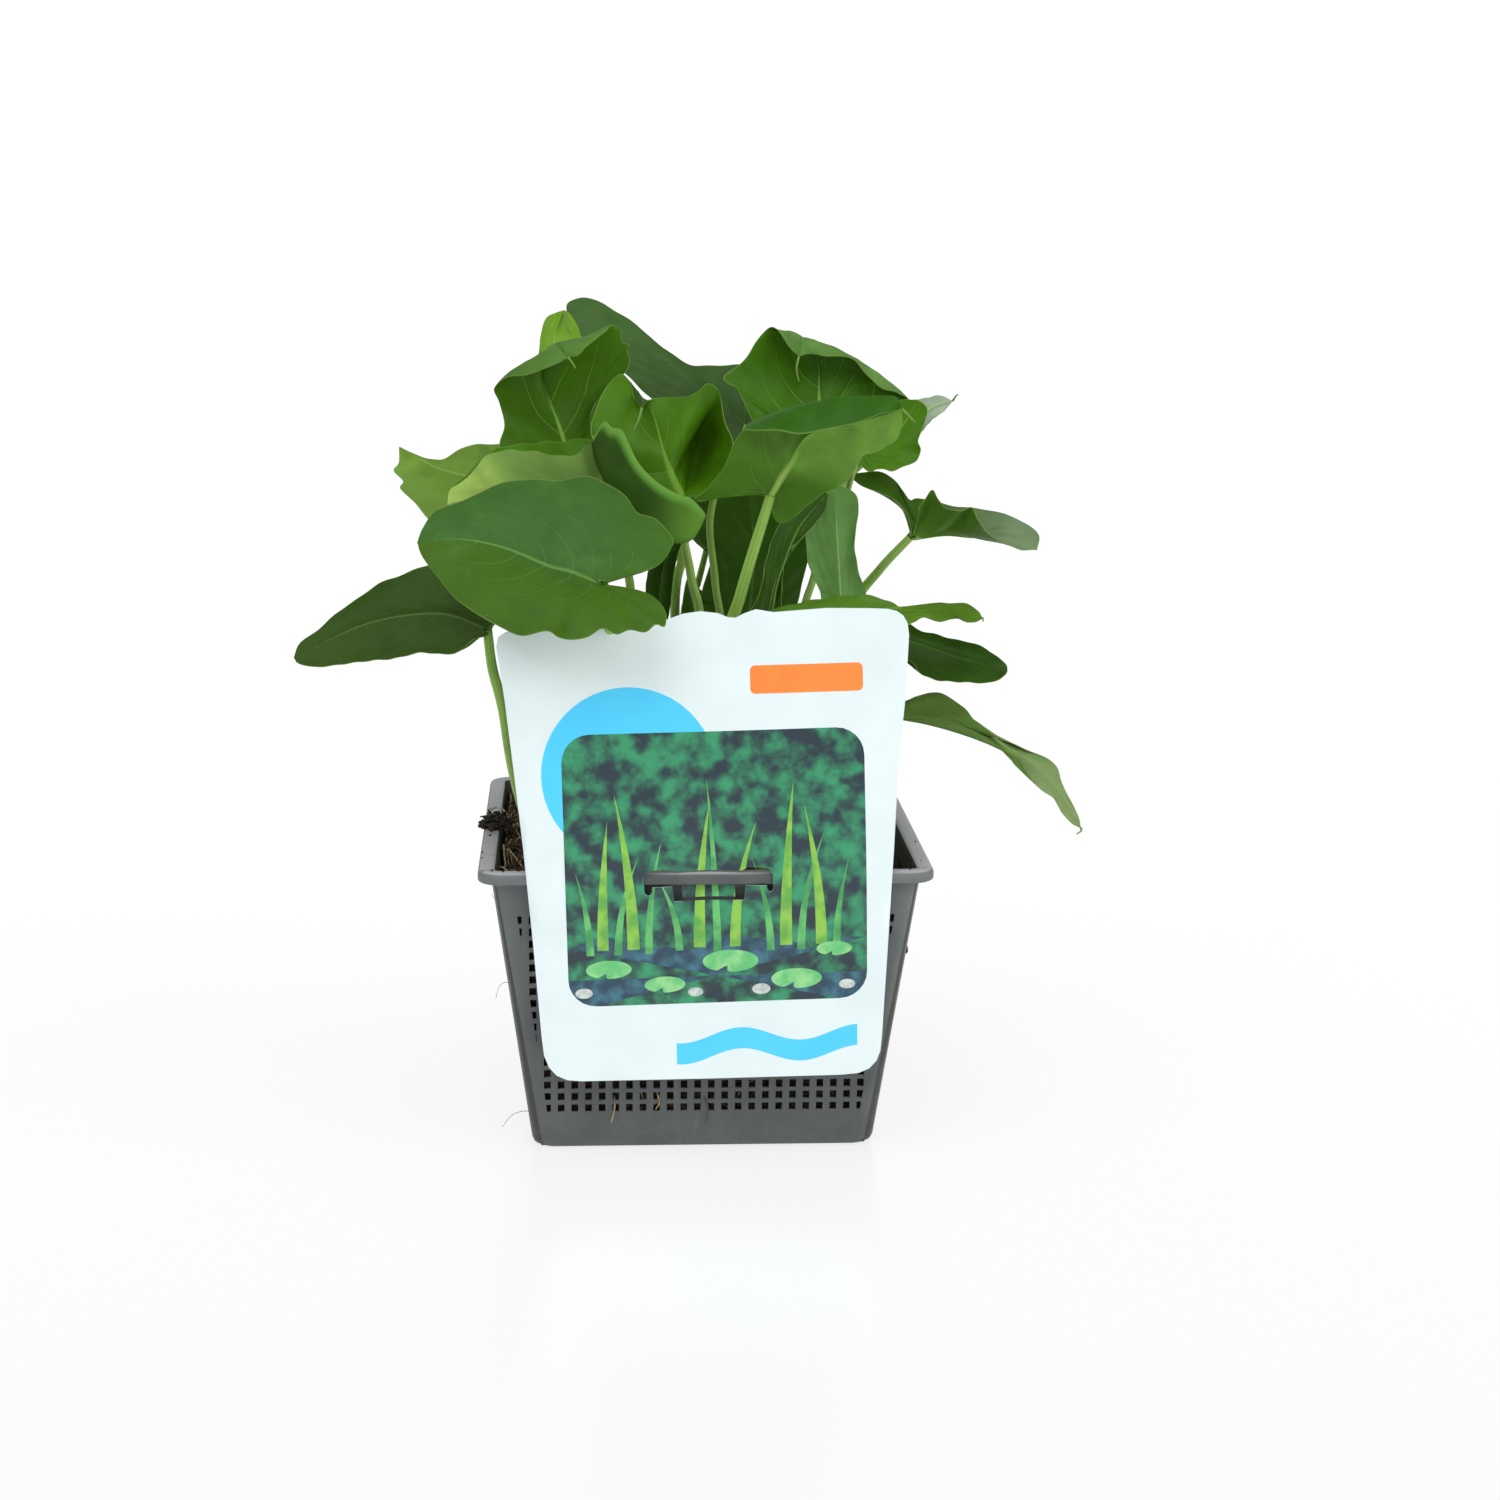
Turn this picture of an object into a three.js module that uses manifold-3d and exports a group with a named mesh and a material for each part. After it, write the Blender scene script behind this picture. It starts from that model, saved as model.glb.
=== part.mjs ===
// Potted calla lily in a square pond basket, with its soil, its leaves on stalks and a plant card.
// Millimetres, +Z up, the basket's front faces -Y and the origin is the centre of its base.
import * as THREE from 'three';
import { mergeVertices } from 'three/addons/utils/BufferGeometryUtils.js';
import Module from 'manifold-3d';

const wasm = await Module();
wasm.setup();

const GAP = 0.3;
const WELD = 1e-4;
const OVERCUT = 1;
const OVERLAP = 0.1;
const WALL_CUT = 30;
const CORNER_STEPS = 3;
const UP = new THREE.Vector3(0, 0, 1);

// Driving dimensions of the basket
const BASKET = {
  height: 120,
  rimHalf: 90,
  rimCorner: 9.5,
  rimDrop: 4.7,
  rimThickness: 1.6,
  wallTopHalf: 84.6,
  wallBaseHalf: 69.3,
  wallCorner: 9,
  wall: 1.8,
  floor: 2,
  windowRows: 3,
  windowColumns: 3,
  windowLow: 17,
  windowHigh: 102,
  windowMargin: 22,
  bar: 4,
  floorHole: 9,
  floorHoleRing: 42,
  floorHoles: 8,
};

// Driving dimensions of the soil
const SOIL = {
  level: 107,
  cells: 10,
  clearance: 0.5,
  brim: 2,
  lump: 3.2,
  lumpAcross: 9,
  lumpBack: 11,
  lumpSlant: 6,
  slantShare: 0.6,
  shiftAcross: 1.3,
  shiftBack: 0.7,
  leftHeap: 6,
  heapStart: 45,
  heapEnd: 80,
  sheetMargin: 5,
  lidHeight: 10,
  rootDepth: 14,
};

// Driving dimensions of the card, whose slot hooks over the front of the rim
const CARD = {
  thickness: 0.8,
  bottom: 34,
  top: 222,
  middle: 128,
  halfAtMiddle: 74,
  flare: 0.081,
  tilt: THREE.MathUtils.degToRad(1.6),
  lowerCorner: 14,
  upperCorner: 8,
  topWave: 1.2,
  topWaveLength: 8,
  bendLevels: [37, 48, 90, 105],
  upperLevels: [131, 180, 214],
  innerHalf: 12,
  slotHalf: 25,
  slotCentre: 117.5,
  slotHalfHeight: 3.4,
  frontAtRim: -91.2,
  bow: 3.6,
  bowReach: 18,
  leanBack: 0.096,
  leanIn: 0.07,
  bend: 12,
};

// Driving dimensions that all leaves share
const LEAF = {
  thickness: 0.9,
  rows: 9,
  columns: 2,
  lobeShare: 0.3,
  lobeEase: 1.15,
  waves: 3,
  waveShift: 0.2,
};
const STALK = { sides: 6, steps: 5 };

const FINISHES = {
  basket: { colour: 0x5f6262, roughness: 0.55 },
  soil: { colour: 0x2b211b, roughness: 0.95 },
  card: { colour: 0xe8f5f7, roughness: 0.35 },
  blade: { colour: 0x4a7a26, roughness: 0.45 },
  stalk: { colour: 0x6f9a40, roughness: 0.5 },
};

// Each leaf: where its stalk leaves the soil, the stalk's route, then the midrib from the stalk to the tip
// and both margins from the stalk round the lobe to the tip, left and right as seen on the upper face
const LEAVES = [
  {
    name: 'front_left',
    root: [-22, -34],
    stalk: [[-26, -70, 209], [-31, -80, 230]],
    stalkRadius: [2.4, 1.9],
    midrib: [[-40, -92, 234], [-65, -82, 241], [-93, -74, 249], [-112, -75, 248]],
    left: [[-30, -94, 233], [-18, -104, 227], [-23, -112, 220], [-44, -112, 217], [-74, -105, 218], [-95, -92, 228], [-109, -79, 240]],
    right: [[-31, -91, 237], [-19, -88, 242], [-15, -83, 251], [-33, -63, 267], [-51, -56, 271], [-80, -58, 268], [-103, -65, 260]],
    face: [-0.1, -0.8, 0.6],
    bulge: [3, 2],
    rise: [0, 0],
    wave: 1.5,
  },
  {
    name: 'low_left',
    root: [-60, -44],
    stalk: [[-78, -58, 149], [-83, -64, 181], [-85, -64, 197]],
    stalkRadius: [2.8, 2.3],
    midrib: [[-86, -62, 212], [-104, -53, 218], [-136, -50, 214], [-162, -56, 200]],
    left: [[-86, -65, 208], [-97, -66, 204], [-111, -64, 203], [-131, -63, 200], [-154, -61, 197]],
    right: [[-75, -58, 219], [-81, -45, 232], [-101, -38, 236], [-121, -38, 231], [-140, -45, 219], [-159, -54, 204]],
    face: [-0.1, -0.7, 0.6],
    bulge: [-2, -3],
    rise: [0, 0],
    wave: 1,
  },
  {
    name: 'back_left',
    root: [-34, -8],
    stalk: [[-37, -20, 201], [-57, -18, 233]],
    stalkRadius: [2.2, 1.6],
    midrib: [[-67, -15, 257], [-90, -8, 265], [-108, 2, 271], [-125, 11, 272]],
    left: [[-69, -23, 246], [-94, -22, 240], [-111, -11, 249], [-122, 0, 260], [-126, 7, 267]],
    right: [[-57, -15, 261], [-65, -3, 274], [-89, 6, 278], [-101, 2, 273], [-115, 7, 274]],
    face: [-0.2, -0.8, 0.6],
    bulge: [-3, -2],
    rise: [0, 0],
    wave: 1.5,
  },
  {
    name: 'left_fold',
    root: [-26, -20],
    stalk: [[-30, -30, 202], [-30, -34, 229]],
    stalkRadius: [2.0, 1.5],
    midrib: [[-41, -38, 259], [-57, -40, 262], [-85, -38, 265], [-102, -38, 258]],
    left: [[-41, -44, 249], [-57, -48, 243], [-81, -45, 247], [-99, -42, 252]],
    right: [[-39, -34, 268], [-42, -22, 280], [-55, -19, 282], [-75, -21, 281], [-93, -30, 272]],
    face: [-0.0, 0.8, -0.5],
    bulge: [3, 4],
    rise: [0, 0],
    wave: 0.8,
  },
  {
    name: 'upper_left',
    root: [-18, -4],
    stalk: [[-25, -6, 198], [-41, -6, 240]],
    stalkRadius: [2.4, 1.8],
    midrib: [[-52, -15, 266], [-58, -9, 284], [-65, -1, 307], [-63, -2, 318], [-54, -22, 315]],
    left: [[-63, -18, 258], [-81, -14, 269], [-81, -7, 291], [-84, -11, 303], [-75, -18, 308], [-65, -21, 311]],
    right: [[-45, -17, 260], [-43, -12, 273], [-44, -6, 293], [-29, 0, 311], [-34, 3, 326], [-48, -12, 320]],
    face: [0.0, -0.9, 0.3],
    bulge: [-4, -5],
    rise: [0, 0],
    wave: 1.5,
  },
  {
    name: 'young_lobe',
    root: [-8, 8],
    stalk: [[-10, 6, 208], [-8, 8, 234], [-24, 12, 267]],
    stalkRadius: [2.0, 1.5],
    midrib: [[-51, 8, 288], [-55, 14, 308], [-57, 19, 324], [-55, 18, 331]],
    left: [[-57, 6, 286], [-68, 8, 300], [-66, 15, 318], [-63, 19, 329]],
    right: [[-47, 8, 286], [-41, 14, 300], [-43, 19, 316], [-49, 21, 326]],
    face: [0.2, -0.9, 0.3],
    bulge: [-2, -2],
    rise: [0, 0],
    wave: 1,
  },
  {
    name: 'top',
    root: [6, 22],
    stalk: [[10, 18, 207], [5, 30, 247]],
    stalkRadius: [2.2, 1.7],
    midrib: [[21, 42, 283], [-2, 56, 303], [-27, 73, 321], [-54, 90, 331]],
    left: [[21, 31, 269], [2, 40, 277], [-21, 56, 294], [-40, 68, 306], [-53, 80, 318]],
    right: [[41, 48, 293], [30, 58, 304], [13, 59, 307], [-1, 60, 307], [-19, 72, 318], [-40, 89, 332]],
    face: [-0.1, -0.8, 0.6],
    bulge: [3, 3],
    rise: [0, 0],
    wave: 1.2,
  },
  {
    name: 'centre_funnel',
    root: [-6, -34],
    stalk: [[-3, -46, 215]],
    stalkRadius: [2.3, 1.8],
    midrib: [[-7, -48, 245], [-12, -33, 266], [-20, -27, 293], [-25, -41, 298]],
    left: [[0, -53, 253], [-2, -55, 260], [-20, -56, 270], [-33, -50, 287], [-45, -42, 289], [-40, -27, 304], [-33, -22, 309], [-28, -29, 300]],
    right: [[8, -33, 254], [13, -21, 276], [8, -13, 297], [2, -18, 305], [-8, -22, 300], [-21, -28, 300]],
    face: [0.1, -0.9, 0.3],
    bulge: [-6, -8],
    rise: [0, 0],
    wave: 0.5,
  },
  {
    name: 'top_right',
    root: [0, 8],
    stalk: [[-4, -2, 214], [3, -2, 234], [25, 2, 260]],
    stalkRadius: [2.2, 1.7],
    midrib: [[50, 10, 276], [51, 24, 295], [49, 30, 315], [40, 14, 314]],
    left: [[38, 8, 272], [21, 15, 287], [10, 17, 305], [25, 25, 319], [30, 29, 325], [37, 21, 319]],
    right: [[63, 13, 271], [84, 13, 284], [88, 18, 297], [73, 15, 305], [62, 16, 314], [50, 15, 315]],
    face: [0.0, -0.9, 0.4],
    bulge: [-6, -7],
    rise: [0, 8],
    wave: 1.2,
  },
  {
    name: 'front_right',
    root: [8, -42],
    stalk: [[5, -54, 186], [14, -60, 227]],
    stalkRadius: [2.7, 2.2],
    midrib: [[25, -58, 265], [32, -69, 278], [39, -77, 290], [54, -82, 294], [73, -86, 301]],
    left: [[29, -55, 254], [38, -62, 260], [51, -71, 272], [59, -78, 281], [72, -85, 290]],
    right: [[15, -57, 266], [-4, -54, 262], [8, -64, 277], [11, -69, 291], [31, -66, 298], [55, -71, 303]],
    face: [0.2, 0.9, 0.5],
    bulge: [4, 3],
    rise: [0, 0],
    wave: 0.8,
  },
  {
    name: 'right_lobe',
    root: [34, -2],
    stalk: [[55, -2, 210], [62, -4, 244]],
    stalkRadius: [2.0, 1.5],
    midrib: [[64, -28, 267], [74, -22, 277], [82, -17, 288], [86, -15, 299]],
    left: [[62, -27, 271], [60, -22, 287], [76, -17, 297]],
    right: [[68, -28, 266], [79, -25, 271], [88, -21, 280], [89, -18, 289], [91, -15, 296]],
    face: [0.1, -0.9, 0.3],
    bulge: [-2, -2],
    rise: [0, 0],
    wave: 1,
  },
  {
    name: 'far_right_tip',
    root: [30, 14],
    stalk: [[42, 8, 196], [49, 14, 223], [64, 22, 258]],
    stalkRadius: [1.8, 1.4],
    midrib: [[73, 25, 274], [86, 30, 282], [99, 36, 290], [109, 39, 294]],
    left: [[76, 18, 267], [87, 21, 272], [98, 29, 281]],
    right: [[74, 33, 282], [83, 40, 291], [98, 42, 295]],
    face: [0.1, 0.7, -0.7],
    bulge: [2, 2],
    rise: [0, 0],
    wave: 0.8,
  },
  {
    name: 'right_spread',
    root: [40, 4],
    stalk: [[53, 4, 192], [70, 0, 220]],
    stalkRadius: [2.5, 2.0],
    midrib: [[89, 0, 242], [107, 4, 242], [123, 1, 242], [140, -11, 237]],
    left: [[86, 4, 246], [72, 21, 258], [72, 32, 267], [89, 30, 255], [116, 23, 250], [135, 9, 247]],
    right: [[92, -3, 251], [97, 4, 260], [105, -8, 253], [115, -18, 246], [124, -20, 240]],
    face: [-0.1, -0.8, 0.7],
    bulge: [-3, -3],
    rise: [0, 0],
    wave: 0.8,
  },
  {
    name: 'right_upright',
    root: [30, -30],
    stalk: [[54, -36, 179]],
    stalkRadius: [2.4, 2.0],
    midrib: [[56, -42, 204], [55, -37, 224], [54, -30, 247], [53, -26, 263]],
    left: [[53, -45, 197], [48, -43, 206], [42, -36, 236], [50, -29, 255]],
    right: [[59, -44, 196], [67, -39, 208], [61, -31, 239], [64, -26, 256], [58, -26, 263]],
    face: [0.2, -1.0, 0.3],
    bulge: [-2, -2],
    rise: [0, 0],
    wave: 0.8,
  },
  {
    name: 'narrow_upright',
    root: [16, -26],
    stalk: [[24, -34, 178]],
    stalkRadius: [2.2, 1.8],
    midrib: [[26, -38, 204], [30, -30, 223], [39, -18, 246], [52, -7, 260]],
    left: [[20, -43, 198], [17, -40, 210], [24, -30, 228], [31, -21, 247], [43, -12, 257]],
    right: [[31, -38, 197], [34, -33, 209], [33, -25, 232], [42, -17, 244], [50, -11, 253]],
    face: [0.4, -0.9, 0.3],
    bulge: [-2, -2],
    rise: [0, 0],
    wave: 0.5,
  },
  {
    name: 'card_edge',
    root: [22, -40],
    stalk: [[31, -48, 181]],
    stalkRadius: [2.0, 1.6],
    midrib: [[38, -56, 217], [64, -51, 219], [88, -54, 218], [110, -59, 216]],
    left: [[30, -54, 218], [24, -50, 219], [48, -41, 222], [71, -40, 222], [81, -52, 218], [99, -46, 220]],
    right: [[34, -64, 214], [42, -69, 213], [61, -68, 213], [79, -65, 214], [95, -63, 215]],
    face: [0.0, -0.3, 1.0],
    bulge: [1, 1],
    rise: [0, 0],
    wave: 0.6,
  },
  {
    name: 'low_right',
    root: [44, -22],
    stalk: [[61, -26, 172]],
    stalkRadius: [2.0, 1.7],
    midrib: [[68, -30, 202], [89, -35, 198], [106, -43, 194], [122, -51, 193]],
    left: [[60, -29, 202], [62, -16, 212], [84, -21, 212], [99, -33, 204], [116, -42, 199]],
    right: [[61, -42, 192], [73, -52, 186], [89, -46, 192], [101, -53, 189], [115, -55, 189]],
    face: [-0.1, -0.6, 0.8],
    bulge: [-2, -2],
    rise: [0, 0],
    wave: 0.6,
  },
  {
    name: 'lowest_right',
    root: [52, -34],
    stalk: [[61, -34, 149]],
    stalkRadius: [2.0, 1.6],
    midrib: [[69, -35, 166], [94, -26, 173], [120, -51, 162], [145, -97, 139]],
    left: [[61, -31, 167], [70, -16, 177], [89, -18, 178], [105, -26, 176], [124, -49, 162], [142, -72, 153]],
    right: [[64, -45, 160], [76, -41, 163], [99, -36, 169], [120, -53, 162], [137, -81, 147]],
    face: [-0.1, -0.5, 0.9],
    bulge: [-2, -2],
    rise: [0, 0],
    wave: 0.6,
  },
  {
    name: 'inner_centre',
    root: [12, -6],
    stalk: [[15, -2, 181]],
    stalkRadius: [2.2, 1.8],
    midrib: [[16, 0, 197], [16, 4, 218], [17, 8, 236], [18, 13, 258]],
    left: [[10, -2, 191], [1, 0, 204], [3, 4, 223], [6, 7, 238], [5, 11, 254]],
    right: [[22, -1, 191], [31, 3, 203], [33, 7, 221], [33, 11, 242], [31, 13, 254]],
    face: [0.1, -1.0, 0.2],
    bulge: [-2, -2],
    rise: [0, 0],
    wave: 0.3,
  },
  {
    name: 'inner_left',
    root: [-14, -22],
    stalk: [[-15, -26, 185]],
    stalkRadius: [2.0, 1.6],
    midrib: [[-15, -30, 217], [-15, -28, 227], [-12, -27, 237], [-5, -26, 245]],
    left: [[-19, -31, 209], [-22, -29, 216], [-21, -26, 230], [-15, -25, 240]],
    right: [[-14, -32, 209], [-9, -31, 219], [-5, -28, 235], [-1, -28, 243]],
    face: [-0.2, -1.0, 0.2],
    bulge: [-2, -2],
    rise: [0, 0],
    wave: 0.8,
  },
  {
    name: 'rear_left',
    root: [-30, 30],
    stalk: [[-41, 48, 189], [-45, 58, 218]],
    stalkRadius: [2.3, 1.8],
    midrib: [[-47, 70, 234], [-64, 69, 239], [-82, 70, 238], [-97, 73, 231]],
    left: [[-41, 65, 242], [-53, 56, 253], [-71, 54, 256], [-88, 60, 248]],
    right: [[-38, 75, 227], [-52, 84, 216], [-74, 81, 219], [-90, 79, 222]],
    face: [0.0, 0.8, 0.6],
    bulge: [3, 3],
    rise: [0, 0],
    wave: 1.2,
  },
  {
    name: 'rear_right',
    root: [16, 34],
    stalk: [[22, 50, 189], [21, 60, 231]],
    stalkRadius: [2.3, 1.8],
    midrib: [[23, 70, 267], [34, 68, 273], [46, 67, 274], [59, 69, 269]],
    left: [[17, 75, 261], [26, 80, 254], [43, 81, 253], [54, 75, 260]],
    right: [[19, 65, 274], [26, 58, 284], [40, 55, 287], [52, 59, 281]],
    face: [0.0, 0.8, 0.6],
    bulge: [3, 3],
    rise: [0, 0],
    wave: 1.2,
  },
  {
    name: 'rear_low_left',
    root: [-12, 40],
    stalk: [[-17, 56, 152]],
    stalkRadius: [2.2, 1.8],
    midrib: [[-23, 72, 172], [-41, 74, 162], [-53, 81, 143], [-59, 91, 120]],
    left: [[-30, 64, 180], [-47, 60, 176], [-62, 65, 160], [-65, 78, 137]],
    right: [[-18, 80, 161], [-22, 88, 146], [-36, 93, 130], [-50, 97, 116]],
    face: [-0.3, 0.8, 0.5],
    bulge: [3, 3],
    rise: [0, 0],
    wave: 1.2,
  },
  {
    name: 'rear_low_right',
    root: [34, 42],
    stalk: [[37, 60, 147]],
    stalkRadius: [2.2, 1.8],
    midrib: [[40, 76, 166], [55, 75, 162], [69, 79, 147], [77, 89, 123]],
    left: [[36, 83, 158], [43, 89, 143], [57, 92, 130], [71, 94, 119]],
    right: [[41, 70, 176], [61, 62, 176], [77, 67, 159], [82, 79, 136]],
    face: [0.3, 0.8, 0.5],
    bulge: [3, 3],
    rise: [0, 0],
    wave: 1.2,
  },
  {
    name: 'rear_upper_left',
    root: [-20, 16],
    stalk: [[-32, 34, 192], [-33, 48, 233]],
    stalkRadius: [2.2, 1.7],
    midrib: [[-46, 62, 274], [-55, 54, 286], [-66, 43, 296], [-76, 35, 300]],
    left: [[-38, 61, 281], [-44, 49, 296], [-57, 38, 305], [-70, 34, 305]],
    right: [[-45, 67, 267], [-58, 62, 268], [-73, 50, 278], [-79, 39, 291]],
    face: [-0.3, 0.8, 0.5],
    bulge: [3, 3],
    rise: [0, 0],
    wave: 1.2,
  },
  {
    name: 'rear_upper_right',
    root: [26, 22],
    stalk: [[37, 36, 191], [46, 50, 241]],
    stalkRadius: [2.2, 1.7],
    midrib: [[69, 66, 269], [75, 60, 279], [82, 52, 289], [86, 44, 295]],
    left: [[76, 66, 265], [83, 60, 271], [89, 52, 280], [90, 46, 289]],
    right: [[63, 67, 272], [62, 60, 284], [68, 49, 297], [79, 44, 300]],
    face: [0.3, 0.8, 0.5],
    bulge: [3, 3],
    rise: [0, 0],
    wave: 1.2,
  },
];

function closedManifold(geometry) {
  const bare = geometry.clone();
  bare.deleteAttribute('normal');
  bare.deleteAttribute('uv');
  const merged = mergeVertices(bare, WELD);
  return new wasm.Manifold(new wasm.Mesh({
    numProp: 3,
    vertProperties: new Float32Array(merged.attributes.position.array),
    triVerts: new Uint32Array(merged.index.array),
  }));
}

function fromManifold(solid) {
  const mesh = solid.getMesh();
  const geometry = new THREE.BufferGeometry();
  geometry.setAttribute('position', new THREE.BufferAttribute(new Float32Array(mesh.vertProperties), 3));
  geometry.setIndex(new THREE.BufferAttribute(new Uint32Array(mesh.triVerts), 1));
  geometry.computeVertexNormals();
  return geometry;
}

function withClearance(solid) {
  // The solid grown by the gap, as the sum of copies moved a gap each way
  const moves = [[GAP, 0, 0], [0, GAP, 0], [0, 0, GAP], [-GAP, 0, 0], [0, -GAP, 0], [0, 0, -GAP]];
  return moves.reduce((sum, move) => sum.add(solid.translate(move)), solid);
}

function surfaceFromGrid(rows) {
  // An indexed sheet from rows of points, in which the points that coincide become one
  const positions = rows.flat().flatMap((point) => point.toArray());
  const width = rows[0].length;
  const index = [];
  for (let row = 0; row < rows.length - 1; row += 1) {
    for (let column = 0; column < width - 1; column += 1) {
      const corner = row * width + column;
      index.push(corner, corner + 1, corner + width + 1);
      index.push(corner, corner + width + 1, corner + width);
    }
  }
  const sheet = new THREE.BufferGeometry();
  sheet.setAttribute('position', new THREE.Float32BufferAttribute(positions, 3));
  sheet.setIndex(index);
  const merged = mergeVertices(sheet, WELD);
  const kept = [];
  const ids = merged.index.array;
  for (let k = 0; k < ids.length; k += 3) {
    const [a, b, c] = [ids[k], ids[k + 1], ids[k + 2]];
    if (a !== b && b !== c && a !== c) {
      kept.push(a, b, c);
    }
  }
  merged.setIndex(kept);
  merged.computeVertexNormals();
  return merged;
}

function thicken(sheet, thickness) {
  // A closed shell round an indexed sheet: both faces, and a strip along each open edge
  const middle = sheet.attributes.position;
  const normal = sheet.attributes.normal;
  const count = middle.count;
  const positions = [];
  for (const side of [0.5, -0.5]) {
    for (let k = 0; k < count; k += 1) {
      positions.push(middle.getX(k) + side * thickness * normal.getX(k));
      positions.push(middle.getY(k) + side * thickness * normal.getY(k));
      positions.push(middle.getZ(k) + side * thickness * normal.getZ(k));
    }
  }
  const ids = sheet.index.array;
  const edges = new Set();
  const index = [];
  for (let k = 0; k < ids.length; k += 3) {
    const [a, b, c] = [ids[k], ids[k + 1], ids[k + 2]];
    index.push(a, b, c, a + count, c + count, b + count);
    for (const [from, to] of [[a, b], [b, c], [c, a]]) {
      edges.add(`${from},${to}`);
    }
  }
  for (const edge of edges) {
    const [from, to] = edge.split(',').map(Number);
    if (!edges.has(`${to},${from}`)) {
      index.push(from, from + count, to + count, from, to + count, to);
    }
  }
  const shell = new THREE.BufferGeometry();
  shell.setAttribute('position', new THREE.Float32BufferAttribute(positions, 3));
  shell.setIndex(index);
  return shell;
}

function routeThrough(points) {
  const route = points.map(([x, y, z]) => new THREE.Vector3(x, y, z));
  return new THREE.CatmullRomCurve3(route, false, 'catmullrom', 0.5);
}

function wingPoint(leaf, side, along, across) {
  // Across runs from the midrib to the margin, along from the sinus round the lobe to the tip
  const tip = leaf.midrib.at(-1);
  const margin = side === 0 ? leaf.left : leaf.right;
  const edge = routeThrough([leaf.midrib[0], ...margin, tip]).getPoint(along);
  const share = THREE.MathUtils.clamp((along - LEAF.lobeShare) / (1 - LEAF.lobeShare), 0, 1);
  const rib = routeThrough(leaf.midrib).getPoint(share ** LEAF.lobeEase);
  const face = new THREE.Vector3(...leaf.face).normalize();
  const swell = 4 * across * (1 - across) * Math.sin(Math.PI * along);
  const turns = LEAF.waves * along + LEAF.waveShift * side;
  const ripple = leaf.wave * across ** 3 * Math.sin(2 * Math.PI * turns) * Math.sin(Math.PI * along);
  const point = rib.lerp(edge, across);
  point.addScaledVector(face, leaf.bulge[side] * swell + ripple);
  return point.addScaledVector(UP, leaf.rise[side] * swell);
}

function bladeSheet(leaf) {
  const rows = [];
  for (let row = 0; row <= LEAF.rows; row += 1) {
    const points = [];
    for (let column = -LEAF.columns; column <= LEAF.columns; column += 1) {
      const side = column < 0 ? 0 : 1;
      points.push(wingPoint(leaf, side, row / LEAF.rows, Math.abs(column) / LEAF.columns));
    }
    rows.push(points);
  }
  return surfaceFromGrid(rows);
}

function circle(radius, sides) {
  const shape = new THREE.Shape();
  for (let side = 0; side < sides; side += 1) {
    const angle = (2 * Math.PI * side) / sides;
    const corner = [radius * Math.cos(angle), radius * Math.sin(angle)];
    if (side === 0) {
      shape.moveTo(...corner);
    } else {
      shape.lineTo(...corner);
    }
  }
  return shape;
}

function stalkRoute(leaf) {
  const start = [leaf.root[0], leaf.root[1], SOIL.level - SOIL.rootDepth];
  return routeThrough([start, ...leaf.stalk, leaf.midrib[0]]);
}

function stalkSolid(leaf, extra) {
  const radius = (leaf.stalkRadius[0] + leaf.stalkRadius[1]) / 2;
  const route = stalkRoute(leaf);
  const tube = new THREE.ExtrudeGeometry(circle(radius + extra, STALK.sides), {
    steps: STALK.steps,
    extrudePath: route,
    bevelEnabled: false,
  });
  return closedManifold(tube);
}

function stalkUpTo(leaf, blade) {
  // The stalk from under the soil to its blade, cut square where it is a gap away from it
  const whole = stalkSolid(leaf, 0);
  const grown = withClearance(blade);
  const back = stalkRoute(leaf).getTangent(1).negate();
  const neck = back.dot(new THREE.Vector3(...leaf.midrib[0]));
  let cut = whole;
  for (let short = GAP; cut.intersect(grown).volume() > 0; short += GAP) {
    cut = whole.trimByPlane(back.toArray(), neck + short);
  }
  return cut;
}

function roundedSquare(half, corner) {
  const shape = new THREE.Shape();
  shape.moveTo(-half + corner, -half);
  shape.lineTo(half - corner, -half);
  shape.absarc(half - corner, -half + corner, corner, -Math.PI / 2, 0);
  shape.lineTo(half, half - corner);
  shape.absarc(half - corner, half - corner, corner, 0, Math.PI / 2);
  shape.lineTo(-half + corner, half);
  shape.absarc(-half + corner, half - corner, corner, Math.PI / 2, Math.PI);
  shape.lineTo(-half, -half + corner);
  shape.absarc(-half + corner, -half + corner, corner, Math.PI, 1.5 * Math.PI);
  return shape;
}

function wallHalf(z) {
  const share = z / (BASKET.height - BASKET.rimDrop);
  return BASKET.wallBaseHalf + (BASKET.wallTopHalf - BASKET.wallBaseHalf) * share;
}

function taperedBlock(low, high, inset) {
  // A rounded square block between two heights that follows the slope of the walls
  const geometry = new THREE.ExtrudeGeometry(roundedSquare(1, BASKET.wallCorner / BASKET.wallTopHalf), {
    depth: high - low,
    curveSegments: CORNER_STEPS,
    bevelEnabled: false,
  });
  const position = geometry.attributes.position;
  for (let k = 0; k < position.count; k += 1) {
    const z = position.getZ(k) + low;
    const half = wallHalf(z) - inset;
    position.setXYZ(k, position.getX(k) * half, position.getY(k) * half, z);
  }
  return closedManifold(geometry);
}

function ring(low, high, half, corner, innerHalf) {
  const outer = new THREE.ExtrudeGeometry(roundedSquare(half, corner), {
    depth: high - low,
    curveSegments: CORNER_STEPS,
    bevelEnabled: false,
  });
  const inner = new THREE.ExtrudeGeometry(roundedSquare(innerHalf, corner - (half - innerHalf) / 2), {
    depth: high - low + 2 * OVERCUT,
    curveSegments: CORNER_STEPS,
    bevelEnabled: false,
  });
  outer.translate(0, 0, low);
  inner.translate(0, 0, low - OVERCUT);
  return closedManifold(outer).subtract(closedManifold(inner));
}

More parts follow.
